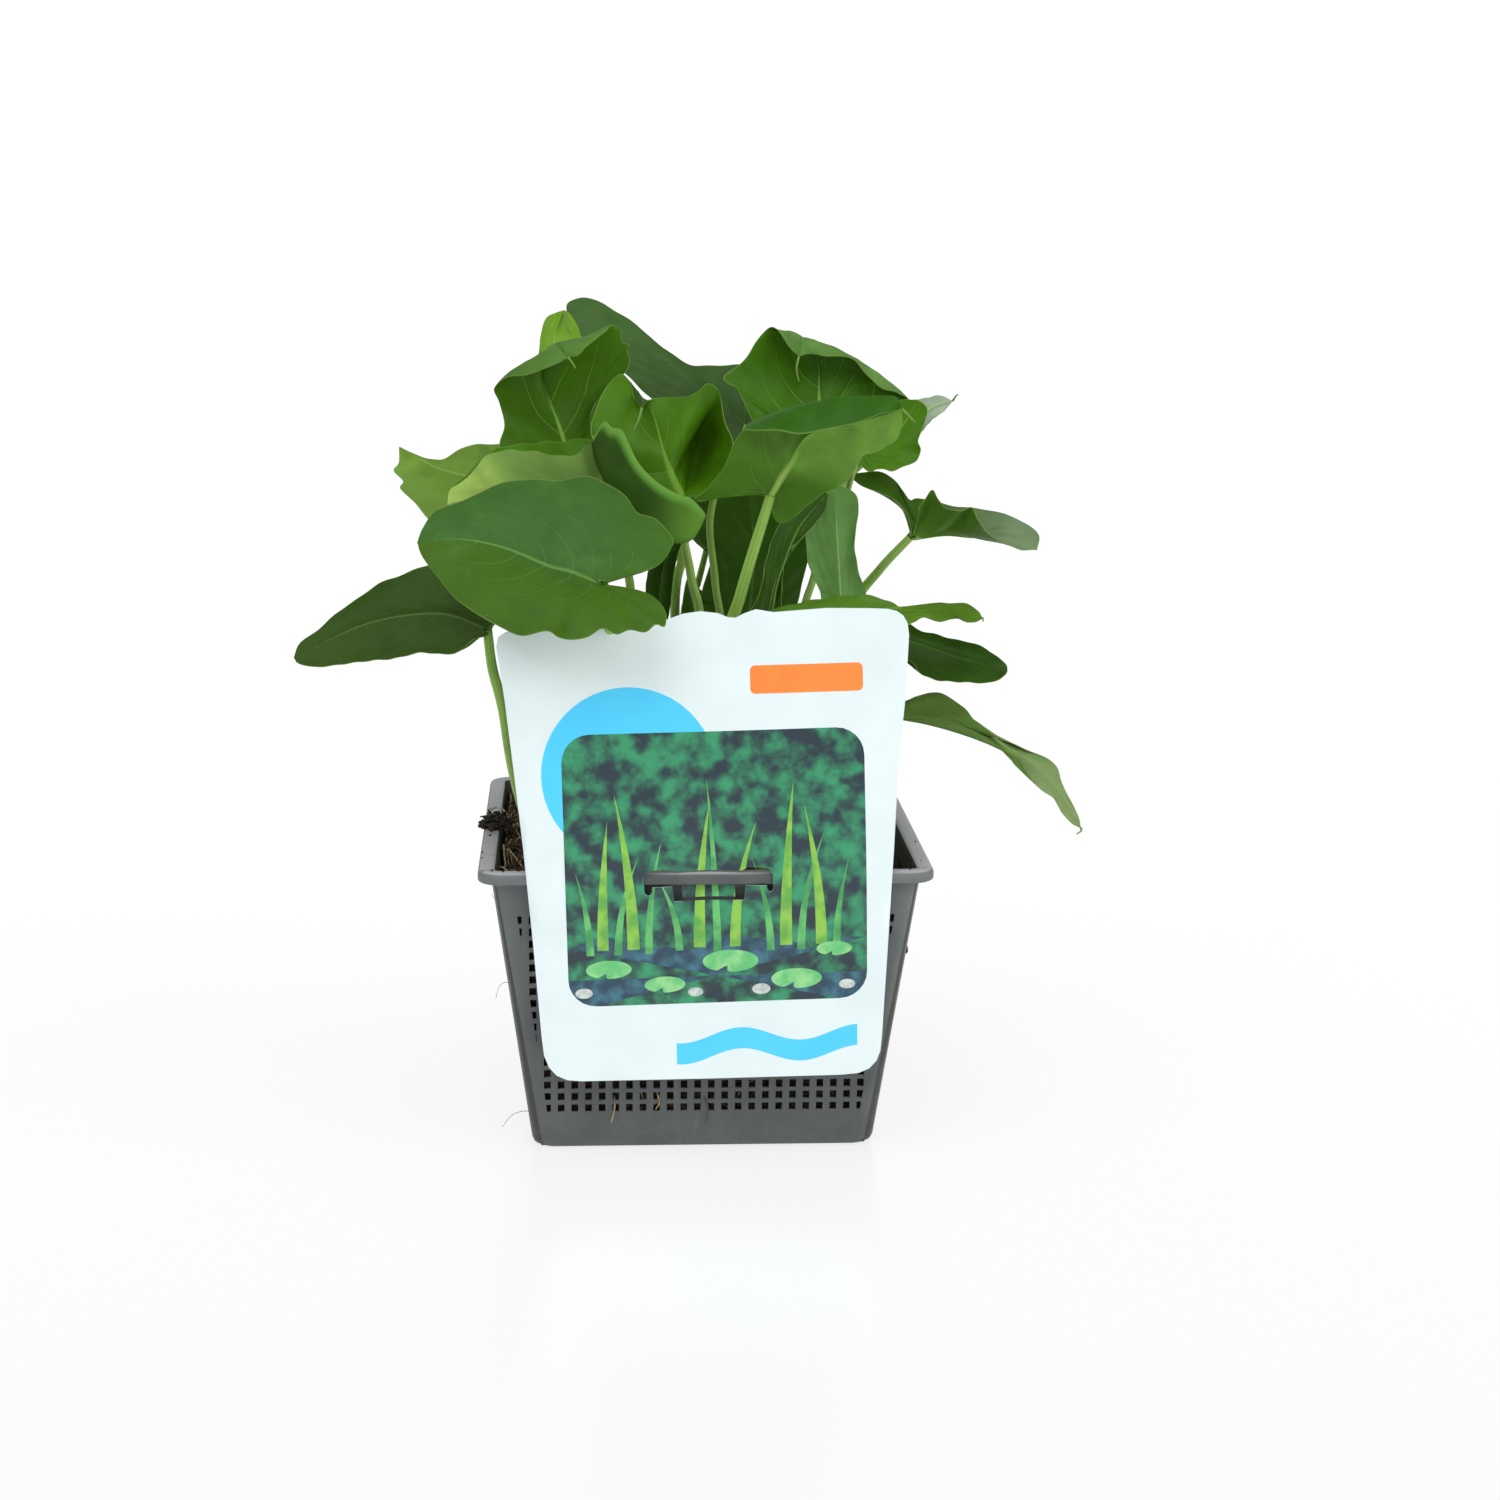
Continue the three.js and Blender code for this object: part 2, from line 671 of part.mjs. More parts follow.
function wallWindows() {
  // Boxes through all four walls, in rows that widen with the walls
  const boxes = [];
  const pitch = (BASKET.windowHigh - BASKET.windowLow + BASKET.bar) / BASKET.windowRows;
  for (let row = 0; row < BASKET.windowRows; row += 1) {
    const low = BASKET.windowLow + row * pitch;
    const reach = wallHalf(low) - BASKET.windowMargin;
    const width = (2 * reach + BASKET.bar) / BASKET.windowColumns;
    for (let column = 0; column < BASKET.windowColumns; column += 1) {
      const box = new THREE.BoxGeometry(width - BASKET.bar, WALL_CUT, pitch - BASKET.bar);
      box.translate(-reach + (column + 0.5) * width - BASKET.bar / 2, -wallHalf(low), 0);
      box.translate(0, 0, low + (pitch - BASKET.bar) / 2);
      boxes.push(closedManifold(box));
    }
  }
  const front = boxes.reduce((sum, box) => sum.add(box));
  const quarters = [0, 90, 180, 270].map((angle) => front.rotate([0, 0, angle]));
  return quarters.reduce((sum, part) => sum.add(part));
}

function floorHoles() {
  const holes = [];
  for (let k = 0; k < BASKET.floorHoles; k += 1) {
    const angle = (2 * Math.PI * k) / BASKET.floorHoles;
    const hole = new THREE.BoxGeometry(BASKET.floorHole, BASKET.floorHole, BASKET.floor * 4);
    hole.rotateZ(angle);
    hole.translate(BASKET.floorHoleRing * Math.cos(angle), BASKET.floorHoleRing * Math.sin(angle), 0);
    holes.push(closedManifold(hole));
  }
  return holes.reduce((sum, hole) => sum.add(hole));
}

function basketSolid() {
  const shoulder = BASKET.height - BASKET.rimThickness;
  const outside = taperedBlock(0, BASKET.height - BASKET.rimThickness / 2, 0);
  const inside = taperedBlock(BASKET.floor, BASKET.height + OVERCUT, BASKET.wall);
  const flange = ring(shoulder, BASKET.height, BASKET.rimHalf, BASKET.rimCorner, wallHalf(shoulder) - BASKET.wall);
  const skirtInner = BASKET.rimHalf - BASKET.rimThickness;
  const skirt = ring(BASKET.height - BASKET.rimDrop, shoulder + OVERLAP, BASKET.rimHalf, BASKET.rimCorner, skirtInner);
  const shell = outside.add(flange).subtract(inside).add(skirt);
  return shell.subtract(wallWindows()).subtract(floorHoles());
}

function soilHeight(x, y) {
  const across = Math.sin(x / SOIL.lumpAcross + SOIL.shiftAcross);
  const back = Math.cos(y / SOIL.lumpBack - SOIL.shiftBack);
  const slant = SOIL.slantShare * Math.sin((x + y) / SOIL.lumpSlant);
  const heap = SOIL.leftHeap * THREE.MathUtils.smoothstep(-x, SOIL.heapStart, SOIL.heapEnd);
  return SOIL.level + (SOIL.lump / 2) * (across * back + slant) + heap;
}

function soilSolid(stalkClearances) {
  // A tapered block whose top is lumpy, with a socket for every stalk
  const inset = BASKET.wall + SOIL.clearance;
  const body = taperedBlock(BASKET.floor + GAP, BASKET.height - SOIL.brim, inset);
  const half = BASKET.rimHalf + SOIL.sheetMargin;
  const rows = [];
  for (let row = 0; row <= SOIL.cells; row += 1) {
    const y = -half + (2 * half * row) / SOIL.cells;
    const points = [];
    for (let column = 0; column <= SOIL.cells; column += 1) {
      const x = -half + (2 * half * column) / SOIL.cells;
      points.push(new THREE.Vector3(x, y, soilHeight(x, y)));
    }
    rows.push(points);
  }
  const above = surfaceFromGrid(rows);
  const lid = lidAbove(above, BASKET.height + SOIL.lidHeight);
  return stalkClearances.reduce((soil, stalk) => soil.subtract(stalk), body.subtract(lid));
}

function lidAbove(sheet, height) {
  // The closed solid between a sheet and a flat plane above it
  const base = sheet.attributes.position;
  const count = base.count;
  const positions = [...base.array];
  for (let k = 0; k < count; k += 1) {
    positions.push(base.getX(k), base.getY(k), height);
  }
  const ids = sheet.index.array;
  const edges = new Set();
  const index = [];
  for (let k = 0; k < ids.length; k += 3) {
    const [a, b, c] = [ids[k], ids[k + 1], ids[k + 2]];
    index.push(a, c, b, a + count, b + count, c + count);
    for (const [from, to] of [[a, b], [b, c], [c, a]]) {
      edges.add(`${from},${to}`);
    }
  }
  for (const edge of edges) {
    const [from, to] = edge.split(',').map(Number);
    if (!edges.has(`${to},${from}`)) {
      index.push(from, to, to + count, from, to + count, from + count);
    }
  }
  const lid = new THREE.BufferGeometry();
  lid.setAttribute('position', new THREE.Float32BufferAttribute(positions, 3));
  lid.setIndex(index);
  return closedManifold(lid);
}

function cardHalf(z) {
  // Half of the card's width, with its four corners rounded
  const plain = CARD.halfAtMiddle + CARD.flare * (z - CARD.middle);
  const low = Math.max(0, CARD.lowerCorner - (z - CARD.bottom));
  const high = Math.max(0, CARD.upperCorner - (CARD.top - z));
  const cutLow = CARD.lowerCorner - Math.sqrt(Math.max(0, CARD.lowerCorner ** 2 - low ** 2));
  const cutHigh = CARD.upperCorner - Math.sqrt(Math.max(0, CARD.upperCorner ** 2 - high ** 2));
  return plain - cutLow - cutHigh;
}

function cardFront(x, z) {
  // The card hangs in front of the rim, bows in where the rim pokes through it and leans back above it
  const rise = z - CARD.slotCentre;
  const soft = Math.sqrt(rise ** 2 + CARD.bend ** 2) - CARD.bend;
  const lean = rise > 0 ? CARD.leanBack : CARD.leanIn;
  const inside = Math.abs(x) < CARD.slotHalf ? (1 + Math.cos((Math.PI * x) / CARD.slotHalf)) / 2 : 0;
  return CARD.frontAtRim + lean * soft + CARD.bow * inside * Math.exp(-((rise / CARD.bowReach) ** 2));
}

function cardPoint(x, z) {
  const turnedX = x * Math.cos(CARD.tilt) - (z - CARD.middle) * Math.sin(CARD.tilt);
  const turnedZ = CARD.middle + x * Math.sin(CARD.tilt) + (z - CARD.middle) * Math.cos(CARD.tilt);
  return new THREE.Vector3(turnedX, cardFront(turnedX, turnedZ), turnedZ);
}

function cardSolid() {
  // A bent sheet in rows and columns, with the cell of the slot left out, given its thickness
  const slotLow = CARD.slotCentre - CARD.slotHalfHeight;
  const slotHigh = CARD.slotCentre + CARD.slotHalfHeight;
  const levels = [CARD.bottom, ...CARD.bendLevels, slotLow, slotHigh, ...CARD.upperLevels, CARD.top];
  const inner = [-CARD.slotHalf, -CARD.innerHalf, CARD.innerHalf, CARD.slotHalf];
  const rows = levels.map((z) => {
    const half = cardHalf(z);
    const crest = z === CARD.top ? CARD.topWave : 0;
    const columns = [-half, ...inner, half];
    return columns.map((x) => cardPoint(x, z + crest * Math.sin(x / CARD.topWaveLength)));
  });
  const sheet = surfaceFromGrid(rows);
  const shell = closedManifold(thicken(sheet, CARD.thickness));
  const slot = new THREE.BoxGeometry(2 * CARD.slotHalf, WALL_CUT, 2 * CARD.slotHalfHeight);
  slot.translate(0, -BASKET.rimHalf, CARD.slotCentre);
  return shell.subtract(closedManifold(slot));
}

function material(name) {
  const { colour, roughness } = FINISHES[name];
  return new THREE.MeshStandardMaterial({ name, color: colour, roughness, metalness: 0 });
}

function named(name, solid, finish) {
  const mesh = new THREE.Mesh(fromManifold(solid), finish);
  mesh.name = name;
  return mesh;
}

function buildPlant() {
  const plant = new THREE.Group();
  const bladeFinish = material('blade');
  const stalkFinish = material('stalk');
  const clearances = [];
  for (const leaf of LEAVES) {
    const sheet = bladeSheet(leaf);
    const blade = closedManifold(thicken(sheet, LEAF.thickness));
    const stalk = stalkUpTo(leaf, blade);
    clearances.push(stalkSolid(leaf, GAP));
    plant.add(named(`leaf_${leaf.name}`, blade, bladeFinish));
    plant.add(named(`stalk_${leaf.name}`, stalk, stalkFinish));
  }
  plant.add(named('basket', basketSolid(), material('basket')));
  plant.add(named('soil', soilSolid(clearances), material('soil')));
  plant.add(named('card', cardSolid(), material('card')));
  return plant;
}

export default buildPlant();
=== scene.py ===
"""Potted calla lily in a lattice pond basket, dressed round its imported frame.

Every size is in millimetres in the frame's own axes, +Z up, the basket's front towards -Y and the
origin at the centre of its base. Meshes are written in metres.
"""

import logging
import math
from collections.abc import Callable
from dataclasses import dataclass, field
from enum import Enum
from functools import cache

import bmesh
import bpy
import numpy as np
from mathutils import Matrix, Vector
from mathutils.geometry import delaunay_2d_cdt


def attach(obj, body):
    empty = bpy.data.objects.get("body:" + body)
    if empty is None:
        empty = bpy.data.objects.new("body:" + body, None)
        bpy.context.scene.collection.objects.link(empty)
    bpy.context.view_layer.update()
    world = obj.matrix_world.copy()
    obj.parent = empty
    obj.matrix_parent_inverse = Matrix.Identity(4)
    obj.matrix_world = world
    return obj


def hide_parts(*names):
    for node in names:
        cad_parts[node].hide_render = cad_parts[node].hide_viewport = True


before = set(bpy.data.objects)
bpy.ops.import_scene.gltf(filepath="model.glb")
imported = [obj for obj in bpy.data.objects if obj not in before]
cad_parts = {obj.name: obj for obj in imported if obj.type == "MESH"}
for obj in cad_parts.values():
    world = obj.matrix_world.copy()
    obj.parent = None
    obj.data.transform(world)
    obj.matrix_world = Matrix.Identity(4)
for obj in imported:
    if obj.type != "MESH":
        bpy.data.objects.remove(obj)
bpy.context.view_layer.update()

MM = 0.001
WELD = 1e-4  # corners nearer than this many millimetres become one
FULL_TURN = 2.0 * math.pi
UP = np.array((0.0, 0.0, 1.0))

Array = np.ndarray
Random = np.random.Generator
Piece = bpy.types.Object
Material = bpy.types.Material
Socket = bpy.types.NodeSocket
Point = tuple[float, float, float]
Span = tuple[float, float]
Colour = tuple[int, int, int]

MARGIN_COLOUR = (126, 156, 78)
RIB_COLOUR = (152, 186, 92)

log = logging.getLogger("plant")


def ink(colour: Colour) -> tuple[float, float, float, float]:
    """Turns a screen colour into the linear one that shaders mix.

    Args:
        colour: Red, green and blue from 0 to 255.

    Returns:
        Linear red, green, blue and an alpha of 1.
    """
    share = np.array(colour) / 255.0
    linear = np.where(share <= 0.04045, share / 12.92, ((share + 0.055) / 1.055) ** 2.4)
    return (*linear.tolist(), 1.0)


def tint(colour: Colour, share: float, more: float = 0.0) -> Colour:
    """Colour whose parts are multiplied by share and raised by more, up to 255."""
    return tuple(min(255, int(part * share + more)) for part in colour)


def ease(value: Array, low: float, high: float) -> Array:
    """Smooth step: 3k^2 - 2k^3 of the share k that value has come from low to high."""
    share = np.clip((value - low) / (high - low), 0.0, 1.0)
    return share * share * (3.0 - 2.0 * share)


def unit(vectors: Array) -> Array:
    """Vectors scaled to a length of one."""
    return vectors / np.maximum(np.linalg.norm(vectors, axis=-1, keepdims=True), 1e-9)


def spline(points: Array, shares: Array) -> Array:
    """Points of a uniform Catmull-Rom curve, carried on in a straight line at both ends.

    Args:
        points: Control points, shape (..., knots, 3).
        shares: Places along the curve, 0 at its start and 1 at its end.

    Returns:
        Points on the curve, shape (..., shares, 3).
    """
    knots = np.asarray(points, float)
    before = 2.0 * knots[..., :1, :] - knots[..., 1:2, :]
    after = 2.0 * knots[..., -1:, :] - knots[..., -2:-1, :]
    knots = np.concatenate((before, knots, after), axis=-2)
    spans = knots.shape[-2] - 3
    place = np.clip(shares, 0.0, 1.0) * spans
    start = np.minimum(place.astype(int), spans - 1)
    part = (place - start)[:, None]
    a, b, c, d = (knots[..., start + step, :] for step in range(4))
    bend = (2.0 * a - 5.0 * b + 4.0 * c - d) * part + (3.0 * b - a - 3.0 * c + d) * part**2
    return b + 0.5 * part * (c - a + bend)


def waves(points: Array, size: float, seed: int) -> Array:
    """Smooth seeded noise: the sum of ten sines along random directions with wavelengths near size.

    Args:
        points: Places to read, shape (..., 3), in millimetres.
        size: Mean wavelength in millimetres.
        seed: Seed of the directions and phases.

    Returns:
        Numbers spread about zero, mostly from -1 to 1.
    """
    rng = np.random.default_rng(seed)
    ways = unit(rng.normal(size=(10, 3))) * (FULL_TURN / size) * rng.uniform(0.7, 1.5, (10, 1))
    return np.sin(points @ ways.T + rng.uniform(0.0, FULL_TURN, 10)).sum(axis=-1) / 4.0


def tube(line: Array, radius: Array, sides: int, lobes: float = 0.0) -> Array:
    """Closed tubes round lines: centre + radius (cos a side + sin a lift), ends drawn to a point.

    Args:
        line: Centre lines, shape (..., steps, 3).
        radius: Radius at each step, shape (..., steps).
        sides: Corners of the section.
        lobes: How far the section swells twice round, as a share of the radius.

    Returns:
        Grid of points, shape (..., steps + 2, sides + 1, 3).
    """
    ahead = unit(np.gradient(line, axis=-2))
    least = np.argmin(np.abs(ahead).max(axis=-2), axis=-1)
    side = unit(np.cross(ahead, np.eye(3)[least][..., None, :]))
    lift = np.cross(side, ahead)
    angle = np.append(np.linspace(0.0, FULL_TURN, sides, endpoint=False), 0.0)
    swell = (1.0 + lobes * np.cos(2.0 * angle))[:, None]
    ring = side[..., None, :] * np.cos(angle)[:, None] + lift[..., None, :] * np.sin(angle)[:, None]
    body = line[..., None, :] + radius[..., None, None] * ring * swell
    first = np.broadcast_to(line[..., :1, None, :], body[..., :1, :, :].shape)
    last = np.broadcast_to(line[..., -1:, None, :], body[..., -1:, :, :].shape)
    return np.concatenate((first, body, last), axis=-3)


def put(name: str, data: bpy.types.ID) -> Piece:
    """Makes an object of a mesh, lamp or camera in the scene."""
    bpy.context.scene.collection.objects.link(made := bpy.data.objects.new(name, data))
    return made


@dataclass
class Shell:
    """Faces gathered from several grids of points; corners that coincide become one vertex."""

    points: list[Array] = field(default_factory=list)
    maps: list[Array] = field(default_factory=list)
    faces: list[Array] = field(default_factory=list)
    finishes: list[Array] = field(default_factory=list)
    total: int = 0

    def spread(self, points: Array, uv: Array | None = None) -> Array:
        """Adds points without faces.

        Args:
            points: Grid of points, shape (..., rows, columns, 3).
            uv: Map coordinates of that grid, or None for its shares of columns and rows.

        Returns:
            Number of each point, shape (..., rows, columns).
        """
        rows, columns = points.shape[-3:-1]
        if uv is None:
            across, along = np.meshgrid(np.linspace(0, 1, columns), np.linspace(0, 1, rows))
            uv = np.broadcast_to(np.stack((across, along), -1), (*points.shape[:-1], 2))
        ids = np.arange(points[..., 0].size).reshape(points.shape[:-1]) + self.total
        self.points.append(points.reshape(-1, 3))
        self.maps.append(uv.reshape(-1, 2))
        self.total += points[..., 0].size
        return ids

    def cover(self, faces: Array, finish: int | Array = 0) -> None:
        """Adds faces of four point numbers each; a number given twice makes a triangle.

        Args:
            faces: Numbers of the points, four for each face.
            finish: Number of the faces' material, or one for each.
        """
        faces = faces.reshape(-1, 4)
        self.faces.append(faces)
        self.finishes.append(np.broadcast_to(np.asarray(finish, np.int32), (len(faces),)))

    def grid(self, points: Array, finish: int = 0, keep: Array | None = None,
             uv: Array | None = None) -> Array:
        """Adds a grid of points with a face in each cell.

        Args:
            points: Shape (..., rows, columns, 3).
            finish: Number of the cells' material.
            keep: Which cells get a face, shape (rows - 1, columns - 1), or None for all.
            uv: Map coordinates, or None.

        Returns:
            Number of each point.
        """
        ids = self.spread(points, uv)
        cells = np.stack((ids[..., :-1, :-1], ids[..., :-1, 1:], ids[..., 1:, 1:], ids[..., 1:, :-1]), -1)
        self.cover(cells if keep is None else cells[keep], finish)
        return ids

    def plate(self, front: Array, back: Array, solid: Array, looped: bool = False) -> None:
        """Adds a plate with holes: two grids, and a strip between them wherever solid meets open.

        Args:
            front: Grid of the front face, shape (rows, columns, 3).
            back: Grid of the back face, of the same shape.
            solid: Which cells are material, shape (rows - 1, columns - 1).
            looped: True if the last column of points meets the first.
        """
        fore = self.grid(front, keep=solid)
        rear = self.grid(back, keep=solid)
        padded = np.pad(solid, 1)
        rising = padded[1:-1, :-1] != padded[1:-1, 1:]
        level = padded[:-1, 1:-1] != padded[1:, 1:-1]
        if looped:
            rising[:, [0, -1]] = False
        ends = slice(None, -1), slice(1, None)
        low, high = (np.stack((fore[rows], rear[rows]), -1) for rows in ends)
        self.cover(np.concatenate((low, high[..., ::-1]), -1)[rising])
        near, far = (np.stack((fore[:, part], rear[:, part]), -1) for part in ends)
        self.cover(np.concatenate((near, far[..., ::-1]), -1)[level])

    def build(self, name: str, finishes: list[Material], slot: str, *nodes: str,
              crease: float = 50.0) -> Piece:
        """Welds the corners, drops flat faces and makes the piece in the frame.

        Args:
            name: Name of the piece.
            finishes: Its materials, in the order that the faces number them.
            slot: The record's material slot; not used.
            *nodes: CAD nodes that the piece stands for.
            crease: Angle in degrees past which an edge is sharp.

        Returns:
            The new object, riding on the root body.
        """
        points = np.concatenate(self.points)
        keys = np.round(points / WELD).astype(np.int64)
        _, first, which = np.unique(keys, axis=0, return_index=True, return_inverse=True)
        which = which.reshape(-1)
        raw, finish = np.concatenate(self.faces), np.concatenate(self.finishes)
        ids = which[raw]
        same = ids == np.roll(ids, -1, axis=1)
        crossed = (ids[:, 0] == ids[:, 2]) | (ids[:, 1] == ids[:, 3])
        whole, three = (same.sum(1) == 0) & ~crossed, same.sum(1) == 1
        fours, threes = raw[whole], raw[three][~same[three]].reshape(-1, 3)
        mesh = bpy.data.meshes.new(name)
        mesh.from_pydata((points[first] * MM).tolist(), [], which[fours].tolist() + which[threes].tolist())
        corners = np.concatenate((fours.ravel(), threes.ravel()))
        mesh.uv_layers.new(name="UVMap").data.foreach_set("uv", np.concatenate(self.maps)[corners].ravel())
        mesh.polygons.foreach_set("material_index", np.concatenate((finish[whole], finish[three])))
        mesh.polygons.foreach_set("use_smooth", np.ones(len(mesh.polygons), bool))
        for material in finishes:
            mesh.materials.append(material)
        outward = bmesh.new()
        outward.from_mesh(mesh)
        bmesh.ops.recalc_face_normals(outward, faces=outward.faces)
        outward.to_mesh(mesh)
        outward.free()
        mesh.set_sharp_from_angle(angle=math.radians(crease))
        piece = put(name, mesh)
        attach(piece, "root")
        if nodes:
            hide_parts(*nodes)
        log.info("%s: %d faces", name, len(mesh.polygons))
        return piece


class Graph:
    """The node tree of one material, with short calls for the nodes that these finishes use."""

    def __init__(self, name: str, roughness: float = 0.5, sheen: float = 0.5) -> None:
        """Starts a material.

        Args:
            name: Name of the material.
            roughness: Roughness all over, until wear() varies it.
            sheen: Strength of its mirror-like part, 0.5 for plain plastic.
        """
        self.material = bpy.data.materials.new(name)
        self.material.use_nodes = True
        self.tree = self.material.node_tree
        self.shader = self.tree.nodes["Principled BSDF"]
        self.shader.inputs["Roughness"].default_value = roughness
        self.shader.inputs["Specular IOR Level"].default_value = sheen
        source = self.tree.nodes.new("ShaderNodeTexCoord")
        self.place, self.flat = source.outputs["Object"], source.outputs["UV"]

    def node(self, kind: str, settings: dict, inputs: dict) -> bpy.types.Node:
        """Adds a node.

        Args:
            kind: Blender's name of its type.
            settings: Its own settings.
            inputs: A number, colour or socket for each input, by name or place.

        Returns:
            The node.
        """
        made = self.tree.nodes.new(kind)
        for name, value in settings.items():
            setattr(made, name, value)
        for name, value in inputs.items():
            self.feed(made.inputs[name], value)
        return made

    def feed(self, socket: Socket, value: object) -> None:
        """Links a socket to another, or gives it a plain value.

        Args:
            socket: The input to feed.
            value: A socket, number or colour.
        """
        if isinstance(value, Socket):
            self.tree.links.new(value, socket)
        else:
            socket.default_value = value

    def maths(self, operation: str, first: object, second: object = 0.0) -> Socket:
        """Result of one of Blender's operations on two numbers."""
        return self.node("ShaderNodeMath", {"operation": operation}, {0: first, 1: second}).outputs[0]

    def times(self, first: object, second: object) -> Socket:
        """Product of two numbers."""
        return self.maths("MULTIPLY", first, second)

    def grade(self, value: object, low: float, high: float, start: float = 0.0, end: float = 1.0) -> Socket:
        """Smooth step from start, where value is low, to end, where it is high."""
        inputs = {0: value, 1: low, 2: high, 3: start, 4: end}
        return self.node("ShaderNodeMapRange", {"interpolation_type": "SMOOTHSTEP"}, inputs).outputs[0]

    def mix(self, share: object, first: object, second: object) -> Socket:
        """Colour between two others."""
        return self.node("ShaderNodeMix", {"data_type": "RGBA"}, {0: share, 6: first, 7: second}).outputs[2]

    def over(self, base: object, *layers: tuple[object, Colour, float]) -> object:
        """Base with colours laid over it in turn.

        Args:
            base: The colour below.
            *layers: A mask, its colour and the largest share of that colour, from the lowest up.

        Returns:
            The colour on top.
        """
        for mask, colour, share in layers:
            base = self.mix(mask if share == 1.0 else self.times(mask, share), base, ink(colour))
        return base

    def noise(self, size: float, detail: float = 2.0, source: object = None) -> Socket:
        """Noise from 0 to 1 whose lumps are about size millimetres."""
        inputs = {"Vector": source or self.place, "Scale": 1.0 / (size * MM), "Detail": detail}
        return self.node("ShaderNodeTexNoise", {}, inputs).outputs[0]

    def specks(self, pitch: float, radius: float, share: float) -> Socket:
        """Mask of small round specks.

        Args:
            pitch: Size in millimetres of the cells that may hold a speck.
            radius: Radius of a speck as a share of its cell.
            share: How many of the cells hold one.

        Returns:
            1 inside a speck and 0 outside.
        """
        scale = 1.0 / (pitch * MM)
        cells = self.node("ShaderNodeTexVoronoi", {}, {"Vector": self.place, "Scale": scale})
        chosen = self.grade(self.node("ShaderNodeSeparateColor", {}, {0: cells.outputs["Color"]}).outputs[0],
                            share, share * 1.05, 1.0, 0.0)
        return self.times(chosen, self.grade(cells.outputs["Distance"], radius * 0.7, radius, 1.0, 0.0))

    def parts(self, source: Socket) -> tuple[Socket, ...]:
        """The three coordinates of a vector."""
        return tuple(self.node("ShaderNodeSeparateXYZ", {}, {0: source}).outputs)

    def stretch(self, source: object, scale: Point) -> Socket:
        """Coordinates scaled along each axis."""
        return self.node("ShaderNodeMapping", {}, {"Vector": source, "Scale": scale}).outputs[0]

    def wear(self, value: object, low: float, high: float) -> None:
        """Roughness from low to high as value goes from 0 to 1."""
        self.feed(self.shader.inputs["Roughness"], self.grade(value, 0.0, 1.0, low, high))

    def relief(self, height: object, depth: float, strength: float = 1.0) -> None:
        """Bumps of a height from 0 to 1 that stands for depth millimetres."""
        inputs = {"Strength": strength, "Distance": depth * MM, "Height": height}
        self.feed(self.shader.inputs["Normal"], self.node("ShaderNodeBump", {}, inputs).outputs[0])

    def done(self, colour: object) -> Material:
        """Sets the base colour and gives the finished material."""
        self.feed(self.shader.inputs["Base Color"], colour)
        return self.material


